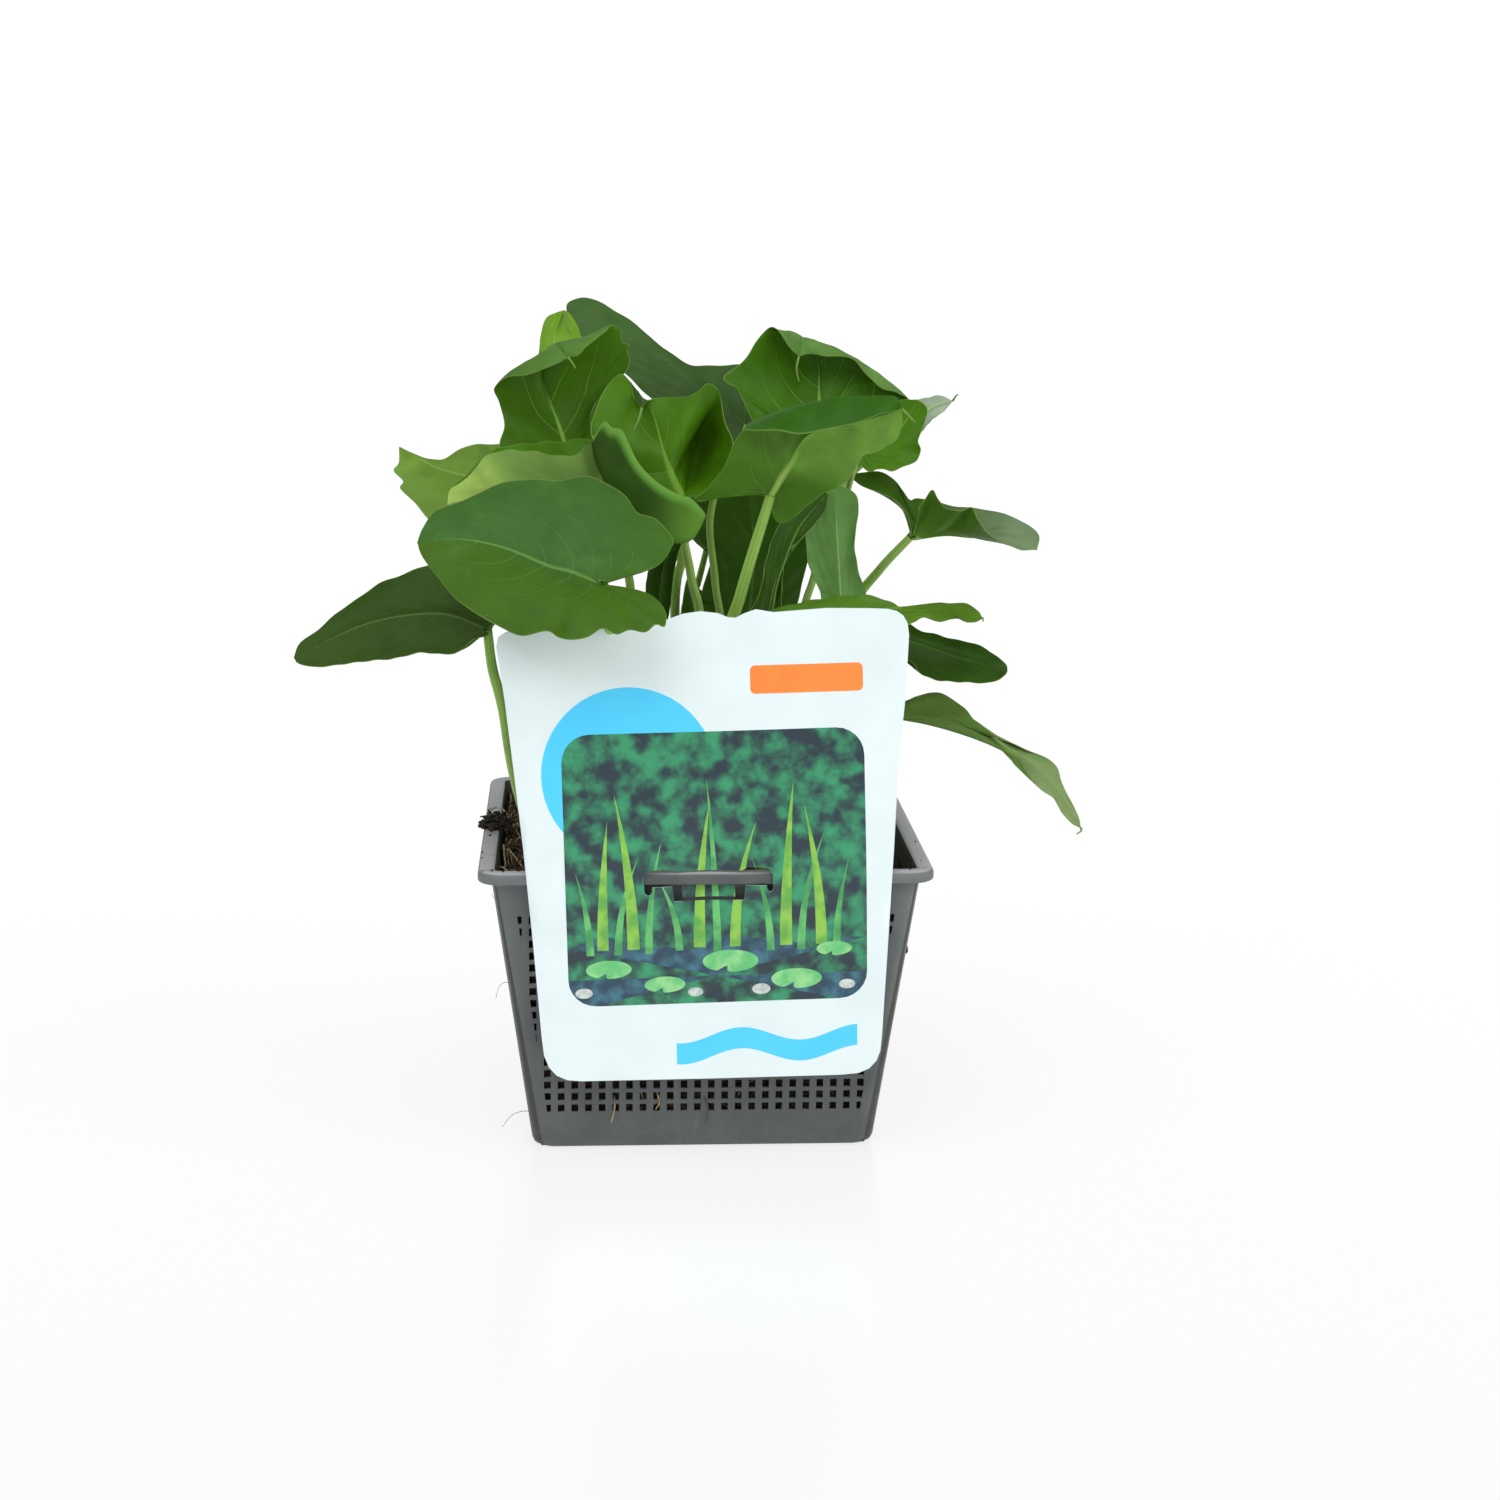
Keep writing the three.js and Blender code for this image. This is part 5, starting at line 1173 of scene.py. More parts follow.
    def add_rim(self, shell: Shell) -> None:
        """The flange: a section of half widths and heights carried round the rounded square.

        Args:
            shell: Where its faces go.
        """
        low, top = self.height - self.rim_drop, self.height
        section = np.array((
            (83.2, 116.0), (83.2, 118.8), (83.4, 119.5), (84.0, 119.9), (85.0, top), (88.0, top),
            (89.0, 119.8), (89.7, 119.2), (90.0, 118.3), (90.0, 116.2), (89.8, low + 0.3), (89.3, low),
            (88.8, low + 0.1), (88.5, low + 0.5), (88.4, 117.8), (87.9, 118.4), (85.7, 118.4),
            (85.2, 118.0), (85.0, 116.0), (83.2, 116.0)))
        half = section[:, 0]
        shell.grid(self.square(half, self.rim_corner - (self.rim_half - half), section[:, 1]))

    def add_floor(self, shell: Shell) -> None:
        """A flat lattice of square holes inside the foot of the walls.

        Args:
            shell: Where its faces go.
        """
        middles = (np.arange(self.floor_holes) - self.floor_holes // 2) * self.floor_pitch
        edges = np.stack((middles - self.floor_hole / 2, middles + self.floor_hole / 2), -1).ravel()
        lines = np.concatenate(((-self.floor_reach,), edges, (self.floor_reach,)))
        x, y = np.meshgrid(lines, lines)
        solid = np.ones((len(lines) - 1,) * 2, bool)
        solid[1::2, 1::2] = False
        under, over = (np.stack((x, y, np.full_like(x, z)), -1) for z in (0.25, self.floor - 0.1))
        shell.plate(under, over, solid)

    def plastic(self) -> Material:
        """Dull grey moulded plastic, with painted shade: darker low on the walls and on the rim's front
        behind the card.

        Over it lie soil on the inside, a painted sheen of the light overhead on what faces up, smears, soil
        along the front of the rim and about the foot, and specks. Heights and distances are in metres here,
        as the nodes read them.

        Returns:
            The material.
        """
        graph = Graph("basket_plastic")
        x, y, z = graph.parts(graph.place)
        facing = graph.parts(graph.node("ShaderNodeNewGeometry", {}, {}).outputs["Normal"])[2]
        cloud = graph.grade(graph.noise(16.0, 5.0), 0.3, 0.7)
        # low is the shaded grey and high the lit one: painted shade darkens the walls towards the foot and
        # the rim's front behind the card slot.
        low = graph.over(ink((72, 78, 78)), (cloud, (83, 88, 87), 1.0))
        high = graph.over(ink((94, 101, 101)), (cloud, (106, 111, 110), 1.0))
        clear_of_slot_shade = graph.maths("MAXIMUM", graph.grade(graph.maths("ABSOLUTE", x), 0.033, 0.036),
                            graph.grade(y, -0.0885, -0.087))
        base = graph.mix(graph.times(graph.grade(z, 0.02, 0.12), clear_of_slot_shade), low, high)
        widest = graph.maths("MAXIMUM", graph.maths("ABSOLUTE", x), graph.maths("ABSOLUTE", y))
        within = graph.maths("SUBTRACT", widest, graph.times(z, 0.1327))
        # Painted sheen: faces that look up are lightened as if by the light overhead.
        upward_sheen = graph.times(graph.grade(facing, 0.6, 0.95, 0.0, 0.9), graph.grade(y, -0.0925, -0.0905))
        smear = graph.noise(5.0, 5.0, graph.stretch(graph.place, (1.0, 1.0, 0.35)))
        front = graph.times(graph.grade(y, -0.0865, -0.0835), graph.grade(y, -0.0815, -0.0825))
        ledge = graph.times(front, graph.grade(z, 0.1175, 0.119))
        base = graph.over(
            base,
            (graph.grade(within, 0.0686, 0.068), (38, 34, 30), 0.85),
            (upward_sheen, (172, 171, 176), 1.0),
            (graph.grade(smear, 0.6, 0.78, 0.0, 0.4), (112, 106, 98), 1.0),
            (graph.times(ledge, graph.grade(graph.noise(1.5, 4.0), 0.42, 0.6)), (92, 76, 60), 0.75),
            (graph.times(graph.grade(z, 0.03, 0.0), graph.grade(graph.noise(3.0, 5.0), 0.5, 0.72)),
             (66, 60, 52), 0.3),
            (graph.specks(7.0, 0.07, 0.16), (38, 34, 32), 0.9),
            (graph.specks(4.0, 0.06, 0.12), (176, 172, 168), 0.5))
        graph.wear(graph.noise(9.0, 4.0), 0.42, 0.62)
        graph.relief(graph.noise(0.5, 3.0), 0.12, 0.5)
        return graph.done(base)

    def build(self) -> Piece:
        """Makes the basket in place of its plain solid.

        Returns:
            The piece.
        """
        shell = Shell()
        outer, inner, solid = self.wall_grids()
        shell.plate(outer, inner, solid, looped=True)
        self.add_rim(shell)
        self.add_floor(shell)
        return shell.build("pond_basket", [self.plastic()], "basket", "basket", crease=38.0)


# Radius, number of the finish and knots of single roots and straws.
SINGLE_STRANDS = (
    (0.45, 1, ((-36.6, -68.6, 22.5), (-36.2, -71.4, 20.5), (-36.4, -73.6, 17.5), (-37.6, -73.2, 12))),
    (0.5, 1, ((31.6, -69, 28), (31.8, -70.4, 25), (32.2, -70.2, 20), (31.6, -69, 16.5))),
    (0.4, 1, ((-19.8, -68.4, 27), (-19, -71.6, 24), (-18.2, -72.6, 20), (-19.6, -71.2, 17))),
    (0.4, 1, ((-26.4, -68.4, 28), (-25.6, -70.6, 24), (-24.4, -70, 21))),
    (0.3, 0, ((-1.4, -69, 27), (-0.8, -71.8, 24), (1.6, -72.6, 18), (0.6, -72.8, 11))),
    (0.12, 2, ((-80.6, -60, 98), (-83, -61, 101), (-85.4, -62, 105))),
    (0.12, 2, ((-78, -58, 66), (-80, -60, 67.5), (-82.6, -61, 66), (-84, -61, 61))),
    (0.14, 2, ((-71, -55, 11), (-74, -58, 12), (-78, -60, 11), (-82, -60, 6))),
    (0.7, 2, ((80.4, -58, 81.8), (81.8, -60, 82.6), (82.6, -60, 79.4), (81.4, -59, 77.8))),
    (0.4, 1, ((-88.9, 7.5, 121.2), (-86, 11, 123.4), (-82, 8, 123), (-77.5, -1, 118),
              (-74, -8, 113))),
    (0.55, 1, ((-81.2, -30, 117), (-80.8, -36, 114.8), (-80, -43, 111))),
    (0.32, 1, ((-78.4, -16, 116), (-79.8, -26, 115), (-79.2, -36, 112), (-77.6, -44, 109))),
    (0.34, 1, ((-79.6, -26, 115), (-76.4, -34, 113), (-73, -42, 110.5))),
    (0.3, 1, ((-82, -62, 116), (-80, -70, 117.5), (-76, -74, 115), (-72, -78, 112))),
)


@dataclass
class Soil:
    """Crumbly soil that fills the basket, heaped to the left, with roots, fibres and loose crumbs."""

    basket: Basket
    level: float = 107.0
    lump: float = 3.2
    heap: float = 6.0
    gap: float = 0.4
    bottom: float = 2.6
    cells: int = 130
    side_rows: int = 34
    crumb_count: int = 620
    clump_crumbs: int = 90
    clump_twigs: int = 60
    side_roots: int = 56
    side_brown: float = 0.65
    strand_steps: int = 9
    strand_sides: int = 5

    CLUMP = (-85.5, -8.0, 120.9)
    LEAST_CRUMB = (-91.5, -math.inf, 120.2)  # least x, y and z in the clump
    LEAST_TWIG = (-92.0, -math.inf, 120.4)
    RIM_CRUMBS = (
        (-86.9, -25.7, 120.2), (-89, -54, 120.1), (-88.8, -63.1, 120.1), (-84.3, -84.2, 120.3),
        (-80, -86, 120.2), (-74, -85, 120.2), (-68, -86.5, 120.2), (-88, 24, 120.2), (87.5, -40, 120.2),
        (86, -72, 120.2), (80, -86, 120.2), (40, 87, 120.2), (-30, 88, 120.2), (88, 45, 120.2))

    def reach(self, z: Array) -> Array:
        """Half of the soil's width at a height."""
        return self.basket.wall_half(z) - self.basket.wall - self.gap

    def surface(self, x: Array, y: Array) -> Array:
        """Height of the soil: broad lumps, a heap to the left and crumbs of three sizes.

        Args:
            x: Places to the right.
            y: Places to the back.

        Returns:
            Heights.
        """
        lumps = np.sin(x / 9.0 + 1.3) * np.cos(y / 11.0 - 0.7) + 0.6 * np.sin((x + y) / 6.0)
        heap = self.heap * ease(-x, 45.0, 80.0) * (0.25 + 0.9 * ease(y, -45.0, 5.0))
        flat = np.stack((x, y, np.zeros_like(x)), -1)
        crumbs = sum(size * 0.16 * (1.0 - np.abs(waves(flat, size, seed)))
                     for seed, size in enumerate((9.0, 4.6, 2.4), 11))
        return self.level + self.lump / 2.0 * lumps + heap + crumbs - 1.0

    def body(self) -> Piece:
        """The block of soil: a square grid on top, walls of crumbs down its sides and a flat bottom.

        A side's points are the top's edge, narrowed as the walls are and then (x, y) (1 - rough / 80),
        where rough is the sum of two sizes of waves, but never less than zero.

        Returns:
            The piece.
        """
        share = np.linspace(-1.0, 1.0, self.cells + 1)
        u, v = np.meshgrid(share, share)
        round_off = 1.0 - 0.012 * (u * v) ** 4
        x, y = (value * round_off * self.reach(np.array(self.level)) for value in (u, v))
        top = np.stack((x, y, self.surface(x, y)), -1)
        edge = np.concatenate((top[0], top[1:, -1], top[-1, -2::-1], top[-2::-1, 0]))
        fall = np.linspace(0.0, 1.0, self.side_rows + 1)[:, None]
        z = edge[None, :, 2] * (1.0 - fall) + self.bottom * fall
        narrow = self.reach(z) / self.reach(np.array(self.level))
        sides = np.stack((edge[None, :, 0] * narrow, edge[None, :, 1] * narrow, z), -1)
        rough = 1.1 * (0.7 + waves(sides, 7.0, 31)) + 0.5 * waves(sides, 3.0, 32)
        rough *= ease(fall, 0.0, 0.05) * ease(fall, 1.0, 0.96)
        inward = 1.0 - np.maximum(rough, 0.0) / 80.0
        sides[..., :2] *= inward[..., None]
        shell = Shell()
        shell.grid(top)
        shell.grid(sides)
        base = top.copy()
        base[..., :2] *= self.reach(np.array(self.bottom)) / self.reach(np.array(self.level))
        base[..., 2] = self.bottom
        shell.grid(base)
        return shell.build("soil_block", [shared(soil_grain)], "soil", "soil", crease=180.0)

    def crumbs(self) -> Piece:
        """Loose crumbs on the soil, on the rim and in a clump on its left side, as small uneven balls.

        Returns:
            The piece.
        """
        rng = np.random.default_rng(7)
        limit = self.reach(np.array(self.level)) - 1.5
        x, y = rng.uniform(-limit, limit, (2, self.crumb_count))
        size = rng.uniform(0.5, 1.7, self.crumb_count)
        scattered = np.stack((x, y, self.surface(x, y) + 0.3 * size), -1)
        heap = rng.normal(size=(self.clump_crumbs, 3)) * (3.4, 6.0, 0.9) + self.CLUMP
        heap, rim = np.maximum(heap, self.LEAST_CRUMB), np.array(self.RIM_CRUMBS)
        places = np.concatenate((scattered, heap, rim))
        heap_size = rng.uniform(0.5, 1.5, len(heap))
        sizes = np.concatenate((size, heap_size, rng.uniform(0.35, 0.6, len(rim))))
        shell = Shell()
        shell.grid(self.balls(places, sizes, rng), 0)
        return shell.build("soil_crumbs", [shared(soil_grain)], "soil", crease=180.0)

    def balls(self, places: Array, sizes: Array, rng: Random) -> Array:
        """Uneven balls: place + size x (1 + noise) x direction, on six sides and three rings.

        Args:
            places: Centres, shape (count, 3).
            sizes: Radii, shape (count,).
            rng: Random source.

        Returns:
            Grids of points, shape (count, 5, 7, 3).
        """
        polar = np.linspace(0.0, math.pi, 5)[:, None]
        turn = np.append(np.linspace(0.0, FULL_TURN, 6, endpoint=False), 0.0)[None, :]
        axes = np.sin(polar) * np.cos(turn), np.sin(polar) * np.sin(turn), np.cos(polar)
        ways = np.stack(np.broadcast_arrays(*axes), -1)
        uneven = rng.uniform(0.6, 1.25, (len(places), 5, 7, 1))
        uneven[:, 0], uneven[:, -1] = uneven[:, 0, :1], uneven[:, -1, :1]
        uneven[:, :, -1] = uneven[:, :, 0]
        grid = ways * uneven * sizes[:, None, None, None] * (1.0, 1.0, 0.75)
        grid[:, 0], grid[:, -1] = grid[:, 0, :1], grid[:, -1, :1]
        return places[:, None, None, :] + grid

    def headings(self, count: int, turning: float, rng: Random) -> Array:
        """Directions of four steps for each of count lines: (cos turn, sin turn), where turn drifts."""
        turn = rng.uniform(0.0, FULL_TURN, (count, 1)) + np.cumsum(rng.normal(0, turning, (count, 4)), 1)
        return np.stack((np.cos(turn), np.sin(turn)), -1)

    def walk(self, starts: Array, steps: Array) -> Array:
        """Flat lines of five knots: each start, then start + the sum of the steps so far."""
        return np.concatenate((starts[:, None], starts[:, None] + np.cumsum(steps, axis=1)), axis=1)

    def strands(self, starts: Array, lengths: Array, arch: float, rng: Random, limit: float) -> Array:
        """Curved lines that wander over the soil: five knots each, turned a little at every step.

        Args:
            starts: First knots, shape (count, 2).
            lengths: Lengths, shape (count,).
            arch: Height that their middles may rise above the soil.
            rng: Random source.
            limit: Half width that they stay inside.

        Returns:
            Lines of nine points, shape (count, 9, 3).
        """
        steps = self.headings(len(starts), 0.45, rng) * (lengths / 4.0)[:, None, None]
        flat = np.clip(self.walk(starts, steps), -limit, limit)
        rise = rng.uniform(0.0, arch, (len(starts), 1)) * np.sin(np.linspace(0.1, math.pi, 5))
        z = self.surface(flat[..., 0], flat[..., 1]) + 0.4 + rise
        return spline(np.concatenate((flat, z[..., None]), -1), np.linspace(0.0, 1.0, self.strand_steps))

    def fibres(self) -> Piece:
        """Brown fibres matted on the heap, pale roots, dark twigs and roots behind the lattice.

        Returns:
            The piece.
        """
        rng = np.random.default_rng(19)
        limit = float(self.reach(np.array(self.level))) - 0.8
        shell = Shell()
        # Count, spans in x and y, lengths, height of the arch, radii and number of the finish.
        groups = (
            (300, (-limit, -66.0), (-50.0, limit), (5.0, 16.0), 3.5, (0.16, 0.4), 0),
            (190, (-70.0, limit), (-limit, limit), (5.0, 20.0), 2.0, (0.14, 0.36), 0),
            (70, (-limit, -60.0), (-60.0, 80.0), (6.0, 18.0), 5.0, (0.12, 0.26), 1),
            (50, (-60.0, limit), (-limit, limit), (6.0, 22.0), 3.0, (0.12, 0.26), 1),
            (110, (-limit, limit), (-limit, limit), (4.0, 12.0), 1.6, (0.3, 0.7), 2),
        )
        for count, span_x, span_y, span, arch, thick, finish in groups:
            starts = np.stack((rng.uniform(*span_x, count), rng.uniform(*span_y, count)), -1)
            lines = self.strands(starts, rng.uniform(*span, count), arch, rng, limit)
            radius = rng.uniform(*thick, (count, 1)) * np.linspace(1.0, 0.5, self.strand_steps)
            shell.grid(tube(lines, radius, self.strand_sides), finish)
        self.add_clump(shell, rng)
        self.add_side_roots(shell, rng)
        for thick, finish, knots in SINGLE_STRANDS:
            line = spline(knots, np.linspace(0.0, 1.0, 14))
            shell.grid(tube(line, thick * np.linspace(1.0, 0.55, 14), 6), finish)
        finishes = [fibre_skin("fibre_brown", (92, 70, 44), (58, 44, 30)),
                    fibre_skin("root_pale", (188, 176, 132), (140, 122, 84)),
                    fibre_skin("twig_dark", (40, 34, 28), (24, 21, 19))]
        return shell.build("soil_fibres", finishes, "soil", crease=180.0)

    def add_clump(self, shell: Shell, rng: Random) -> None:
        """Short dark twigs, tangled over the left side of the rim: middle + way x place + bow.

        Args:
            shell: Where their faces go.
            rng: Random source.
        """
        count = self.clump_twigs
        middle = rng.normal(size=(count, 1, 3)) * (3.0, 5.5, 0.8) + (*self.CLUMP[:2], 121.4)
        way = unit(rng.normal(size=(count, 1, 3)) * (1.0, 1.0, 0.5))
        place = np.linspace(-1.0, 1.0, 5)[None, :, None]
        bow = rng.normal(size=(count, 1, 3)) * 0.7 * (1.0 - place**2)
        line = middle + way * place * rng.uniform(1.2, 3.6, (count, 1, 1)) + bow
        radius = rng.uniform(0.25, 0.7, (count, 1)) * np.array((0.6, 1.0, 1.0, 0.9, 0.4))
        shell.grid(tube(np.maximum(line, self.LEAST_TWIG), radius, self.strand_sides), 2)

    def add_side_roots(self, shell: Shell, rng: Random) -> None:
        """Roots that wander over the soil's four sides, just behind the lattice.

        Args:
            shell: Where their faces go.
            rng: Random source.
        """
        count = self.side_roots
        for turn in range(4):
            place = np.stack((rng.uniform(-60.0, 60.0, count), rng.uniform(14.0, 102.0, count)), -1)
            flat = self.walk(place, self.headings(count, 0.5, rng) * rng.uniform(3.0, 9.0, (count, 1, 1)))
            z = np.clip(flat[..., 1], 8.0, 104.0)
            x = np.clip(flat[..., 0], -62.0, 62.0)
            y = -self.reach(z) + rng.uniform(-0.1, 0.5, (count, 5))
            cosine, sine = ((1, 0), (0, 1), (-1, 0), (0, -1))[turn]
            knots = np.stack((x * cosine - y * sine, x * sine + y * cosine, z), -1)
            lines = spline(knots, np.linspace(0.0, 1.0, self.strand_steps))
            radius = rng.uniform(0.18, 0.5, (count, 1)) * np.linspace(1.0, 0.6, self.strand_steps)
            split = int(count * self.side_brown)
            for finish, part in enumerate((slice(None, split), slice(split, None))):
                shell.grid(tube(lines[part], radius[part], self.strand_sides), finish)


def soil_grain() -> Material:
    """Dark damp soil with brown crumbs and pale grains.

    Returns:
        The material.
    """
    graph = Graph("soil_grain", 0.95)
    cloud, grain = graph.noise(6.0, 5.0), graph.noise(1.3, 6.0)
    base = graph.over(
        ink((26, 22, 18)),
        (graph.grade(cloud, 0.35, 0.7), (58, 44, 31), 1.0),
        (graph.grade(grain, 0.5, 0.75, 0.0, 0.8), (84, 64, 44), 1.0),
        (graph.specks(2.6, 0.22, 0.06), (142, 124, 94), 0.7))
    graph.relief(grain, 1.2, 1.0)
    return graph.done(base)


def fibre_skin(name: str, light: Colour, dark: Colour) -> Material:
    """Dry fibre whose colour drifts between two browns.

    Args:
        name: Name of the material.
        light: Lighter colour.
        dark: Darker colour.

    Returns:
        The material.
    """
    graph = Graph(name, 0.85)
    grain = graph.noise(2.2, 4.0)
    graph.relief(graph.noise(0.4, 3.0), 0.15, 0.8)
    return graph.done(graph.over(ink(dark), (graph.grade(grain, 0.3, 0.7), light, 1.0)))


@dataclass(frozen=True)
class Print:
    """One printed ink: its colour, the colour that it drifts to and the size of that drift."""

    name: str
    colour: Colour
    drift: Colour
    size: float
    share: float = 0.5

    def material(self) -> Material:
        """Glossy printed film with fine specks.

        Returns:
            The material.
        """
        graph = Graph(self.name)
        drift = graph.grade(graph.noise(self.size, 4.0), 0.38, 0.68, 0.0, self.share * 2.0)
        base = graph.over(ink(self.colour), (drift, self.drift, 1.0),
                          (graph.specks(11.0, 0.035, 0.16), (120, 124, 126), 0.55))
        graph.wear(graph.noise(12.0, 3.0), 0.3, 0.42)
        graph.relief(graph.noise(7.0, 2.0), 0.12, 0.35)
        return graph.done(base)


class Ink(Enum):
    """Inks of the card, in the order of its material slots."""

    PAPER = Print("card_white", (226, 239, 240), (221, 234, 236), 30.0)
    BACK = Print("card_back", (238, 242, 243), (228, 234, 236), 20.0)
    SKY = Print("card_blue", (78, 208, 252), (70, 200, 250), 24.0, 0.3)
    SHADE = Print("card_shade", (34, 52, 62), (52, 150, 104), 9.0)
    WATER = Print("card_water", (36, 66, 84), (60, 112, 130), 6.0)
    REED = Print("card_reed", (140, 196, 74), (96, 166, 70), 7.0)
    RUSH = Print("card_rush", (64, 148, 84), (104, 190, 110), 8.0)
    PAD = Print("card_pad", (96, 190, 116), (146, 214, 140), 7.0)
    STONE = Print("card_stone", (206, 212, 206), (168, 180, 176), 3.0)
    BAND = Print("card_orange", (246, 138, 58), (242, 126, 48), 18.0, 0.3)
    # Near black painted into the fold at the tongue's foot: painted shade of the gap where the tongue bends
    # back.
    FOLD_SHADE = Print("card_fold_shade", (20, 24, 26), (34, 38, 40), 5.0)


@dataclass
class Card:
    """Printed card whose slot hooks over the front of the rim, with a tongue cut below the slot."""

    middle: float = 128.0
    tilt: float = math.radians(1.6)
    slot_centre: float = 117.5
    slot_half: float = 25.0
    front_at_rim: float = -91.2
    bow: float = 3.6
    bow_height: float = 18.0
    lean_back: float = 0.096
    lean_in: float = 0.07
    bend: float = 12.0
    thickness: float = 0.5
    mesh_step: float = 4.0

    OUTLINE = (
        (-79, 206), (-79.6, 211), (-78.8, 214.6), (-76, 216.4), (-72, 217.2), (-60, 219.6), (-46, 220.2),
        (-34, 218.8), (-24, 218.2), (-13.6, 219.7), (-7, 221.8), (-0.4, 222.5), (6, 221.6), (10, 219.9),
        (13.1, 219.6), (16.4, 221.2), (20.9, 222.6), (27.8, 221.3), (38.3, 221.8), (48.4, 222.3),
        (64.7, 221.8), (72, 221.4), (75.6, 220.5), (78.2, 218.6), (79.8, 215.6), (80.3, 211), (78.4, 186),
        (75.4, 162), (72.9, 127), (70.2, 87), (67.9, 51), (67.2, 44), (65.6, 39.8), (62.6, 36.6),
        (58.4, 34.9), (52, 34.4), (0, 34.6), (-52, 35.6), (-57.6, 36.2), (-61.8, 38.2), (-64.8, 41.8),
        (-66.6, 47), (-67.3, 55), (-69.2, 92), (-71.8, 132), (-74.2, 160), (-77, 190))
    SLOT = (
        (-25.2, 113.6), (-25.3, 119), (-24.4, 120.8), (-22.6, 121.8), (-20, 122.1), (-15.5, 121.9),
        (-13, 120.9), (13, 120.6), (15.4, 121.9), (21.4, 121.9), (23.9, 121.2), (25.3, 119), (25.3, 113.2),
        (24.9, 112.3), (24.2, 112), (23.4, 112.3), (22.9, 113.2), (22.8, 114.6), (14.6, 114.7),
        (13.8, 108.7), (10.4, 108.75), (10.3, 110.4), (10.5, 114.7), (-10.5, 115), (-10.2, 110.5),
        (-10.3, 108.85), (-13.6, 108.9), (-14.2, 115), (-22.1, 115.2), (-22.3, 113.2), (-22.9, 112.2),
        (-23.8, 111.9), (-24.8, 112.4))
    # Strip at the foot of the tongue that takes that painted shade.
    CREASE_SHADE = ((-10.4, 108.9), (10.4, 108.75), (10.4, 110.1), (-10.4, 110.3))
    DISC, DISC_RADIUS = (-30, 160), 34
    RIPPLE = (-14, 58)
    PANEL = (-56, 62, 67, 176)
    PANEL_CORNER = 11
    BAND = (18, 62, 190, 201, 2)
    WIDE_REED = 3.2
    REEDS = (
        (-47, 88, 34, -5, 3), (-42, 90, 52, 3, 4.4), (-36, 88, 40, 9, 3), (-30, 90, 62, -6, 4.8),
        (-24, 88, 46, 6, 3), (-12, 89, 30, -8, 3), (-4, 90, 58, 5, 4.6), (3, 88, 70, -3, 3.1),
        (10, 90, 50, 9, 4.2), (24, 88, 38, -7, 3), (30, 90, 66, 4, 4.8), (36, 88, 48, 10, 3.1),
        (44, 90, 56, -6, 4.4), (50, 88, 36, 5, 3))
    PADS = ((-40, 82, 9), (-18, 75, 8), (8, 84, 11), (34, 76, 10), (49, 88, 7))
    STONES = ((-50, 72.5, 3.4), (-6, 71.5, 3), (20, 72, 3.6), (54, 73, 3.2))

    def front(self, flat: Array) -> Array:
        """Bends flat points of the card into place.

        The card turns by its tilt, hangs in front of the rim, bows in where the rim pokes through it
        and leans back above and in below: y = front + lean x (sqrt(rise^2 + bend^2) - bend) + bow x
        (1 + cos(pi x / slot half)) / 2 x exp(-(rise / bow height)^2). Waves of half a millimetre keep
        it from being ruled.

        Args:
            flat: Points (x, z), shape (count, 2).

        Returns:
            Points in space, shape (count, 3).
        """
        cosine, sine = math.cos(self.tilt), math.sin(self.tilt)
        x = flat[:, 0] * cosine - (flat[:, 1] - self.middle) * sine
        z = self.middle + flat[:, 0] * sine + (flat[:, 1] - self.middle) * cosine
        rise = z - self.slot_centre
        lean = np.where(rise > 0.0, self.lean_back, self.lean_in)
        hump = (1.0 + np.cos(math.pi * x / self.slot_half)) / 2.0
        inside = np.where(np.abs(x) < self.slot_half, hump, 0.0)
        y = self.front_at_rim + lean * (np.sqrt(rise**2 + self.bend**2) - self.bend)
        y += self.bow * inside * np.exp(-((rise / self.bow_height) ** 2))
        y += 0.35 * np.sin(x / 17.0 + z / 41.0) * ease(np.abs(rise), 8.0, 40.0)
        tongue = ease(np.abs(flat[:, 0]), 10.7, 10.2) * ease(flat[:, 1], 109.5, 115.0) * (rise < 0.0)
        return np.stack((x, y + 1.2 * tongue, z), -1)

    def shapes(self) -> list[tuple[Ink, Array]]:
        """Printed shapes from the lowest layer up, each an outline in the card's flat millimetres.

        Returns:
            Pairs of ink and outline: a disc and a rippled band of sky, a panel of shade with water,
            stones, pads and reeds, and a plain band.
        """
        turn = np.linspace(0.0, FULL_TURN, 48, endpoint=False)
        circle = np.stack((np.cos(turn), np.sin(turn)), -1)
        made = [(Ink.SKY, circle * self.DISC_RADIUS + self.DISC)]
        ripple = np.linspace(*self.RIPPLE, 30)
        crest = 53.0 + 3.0 * np.sin(ripple / 7.5)
        edges = np.stack((ripple, crest), -1), np.stack((ripple[::-1], crest[::-1] - 9.0), -1)
        made.append((Ink.SKY, np.concatenate(edges)))
        panel = self.box(*self.PANEL, self.PANEL_CORNER)
        made.append((Ink.SHADE, panel))
        shore = np.linspace(self.PANEL[1], self.PANEL[0], 40)
        bank = 92.0 + 2.6 * np.sin(shore / 9.0) + 1.2 * np.sin(shore / 3.7)
        pool = panel[panel[:, 1] < 80.0]
        split = len(pool) // 2
        water = pool[:split], np.stack((shore, bank), -1), pool[split:]
        made.append((Ink.WATER, np.concatenate(water)))
        for x, foot, height, lean, width in self.REEDS:
            finish = Ink.REED if width > self.WIDE_REED else Ink.RUSH
            made.append((finish, self.reed(x, foot, height, lean, width)))
        notch = 0.35 + 0.65 * ease(np.abs(turn - 4.4), 0.0, 0.25)
        for x, z, wide in self.PADS:
            made.append((Ink.PAD, circle * notch[:, None] * (wide, wide * 0.42) + (x, z)))
        for x, z, wide in self.STONES:
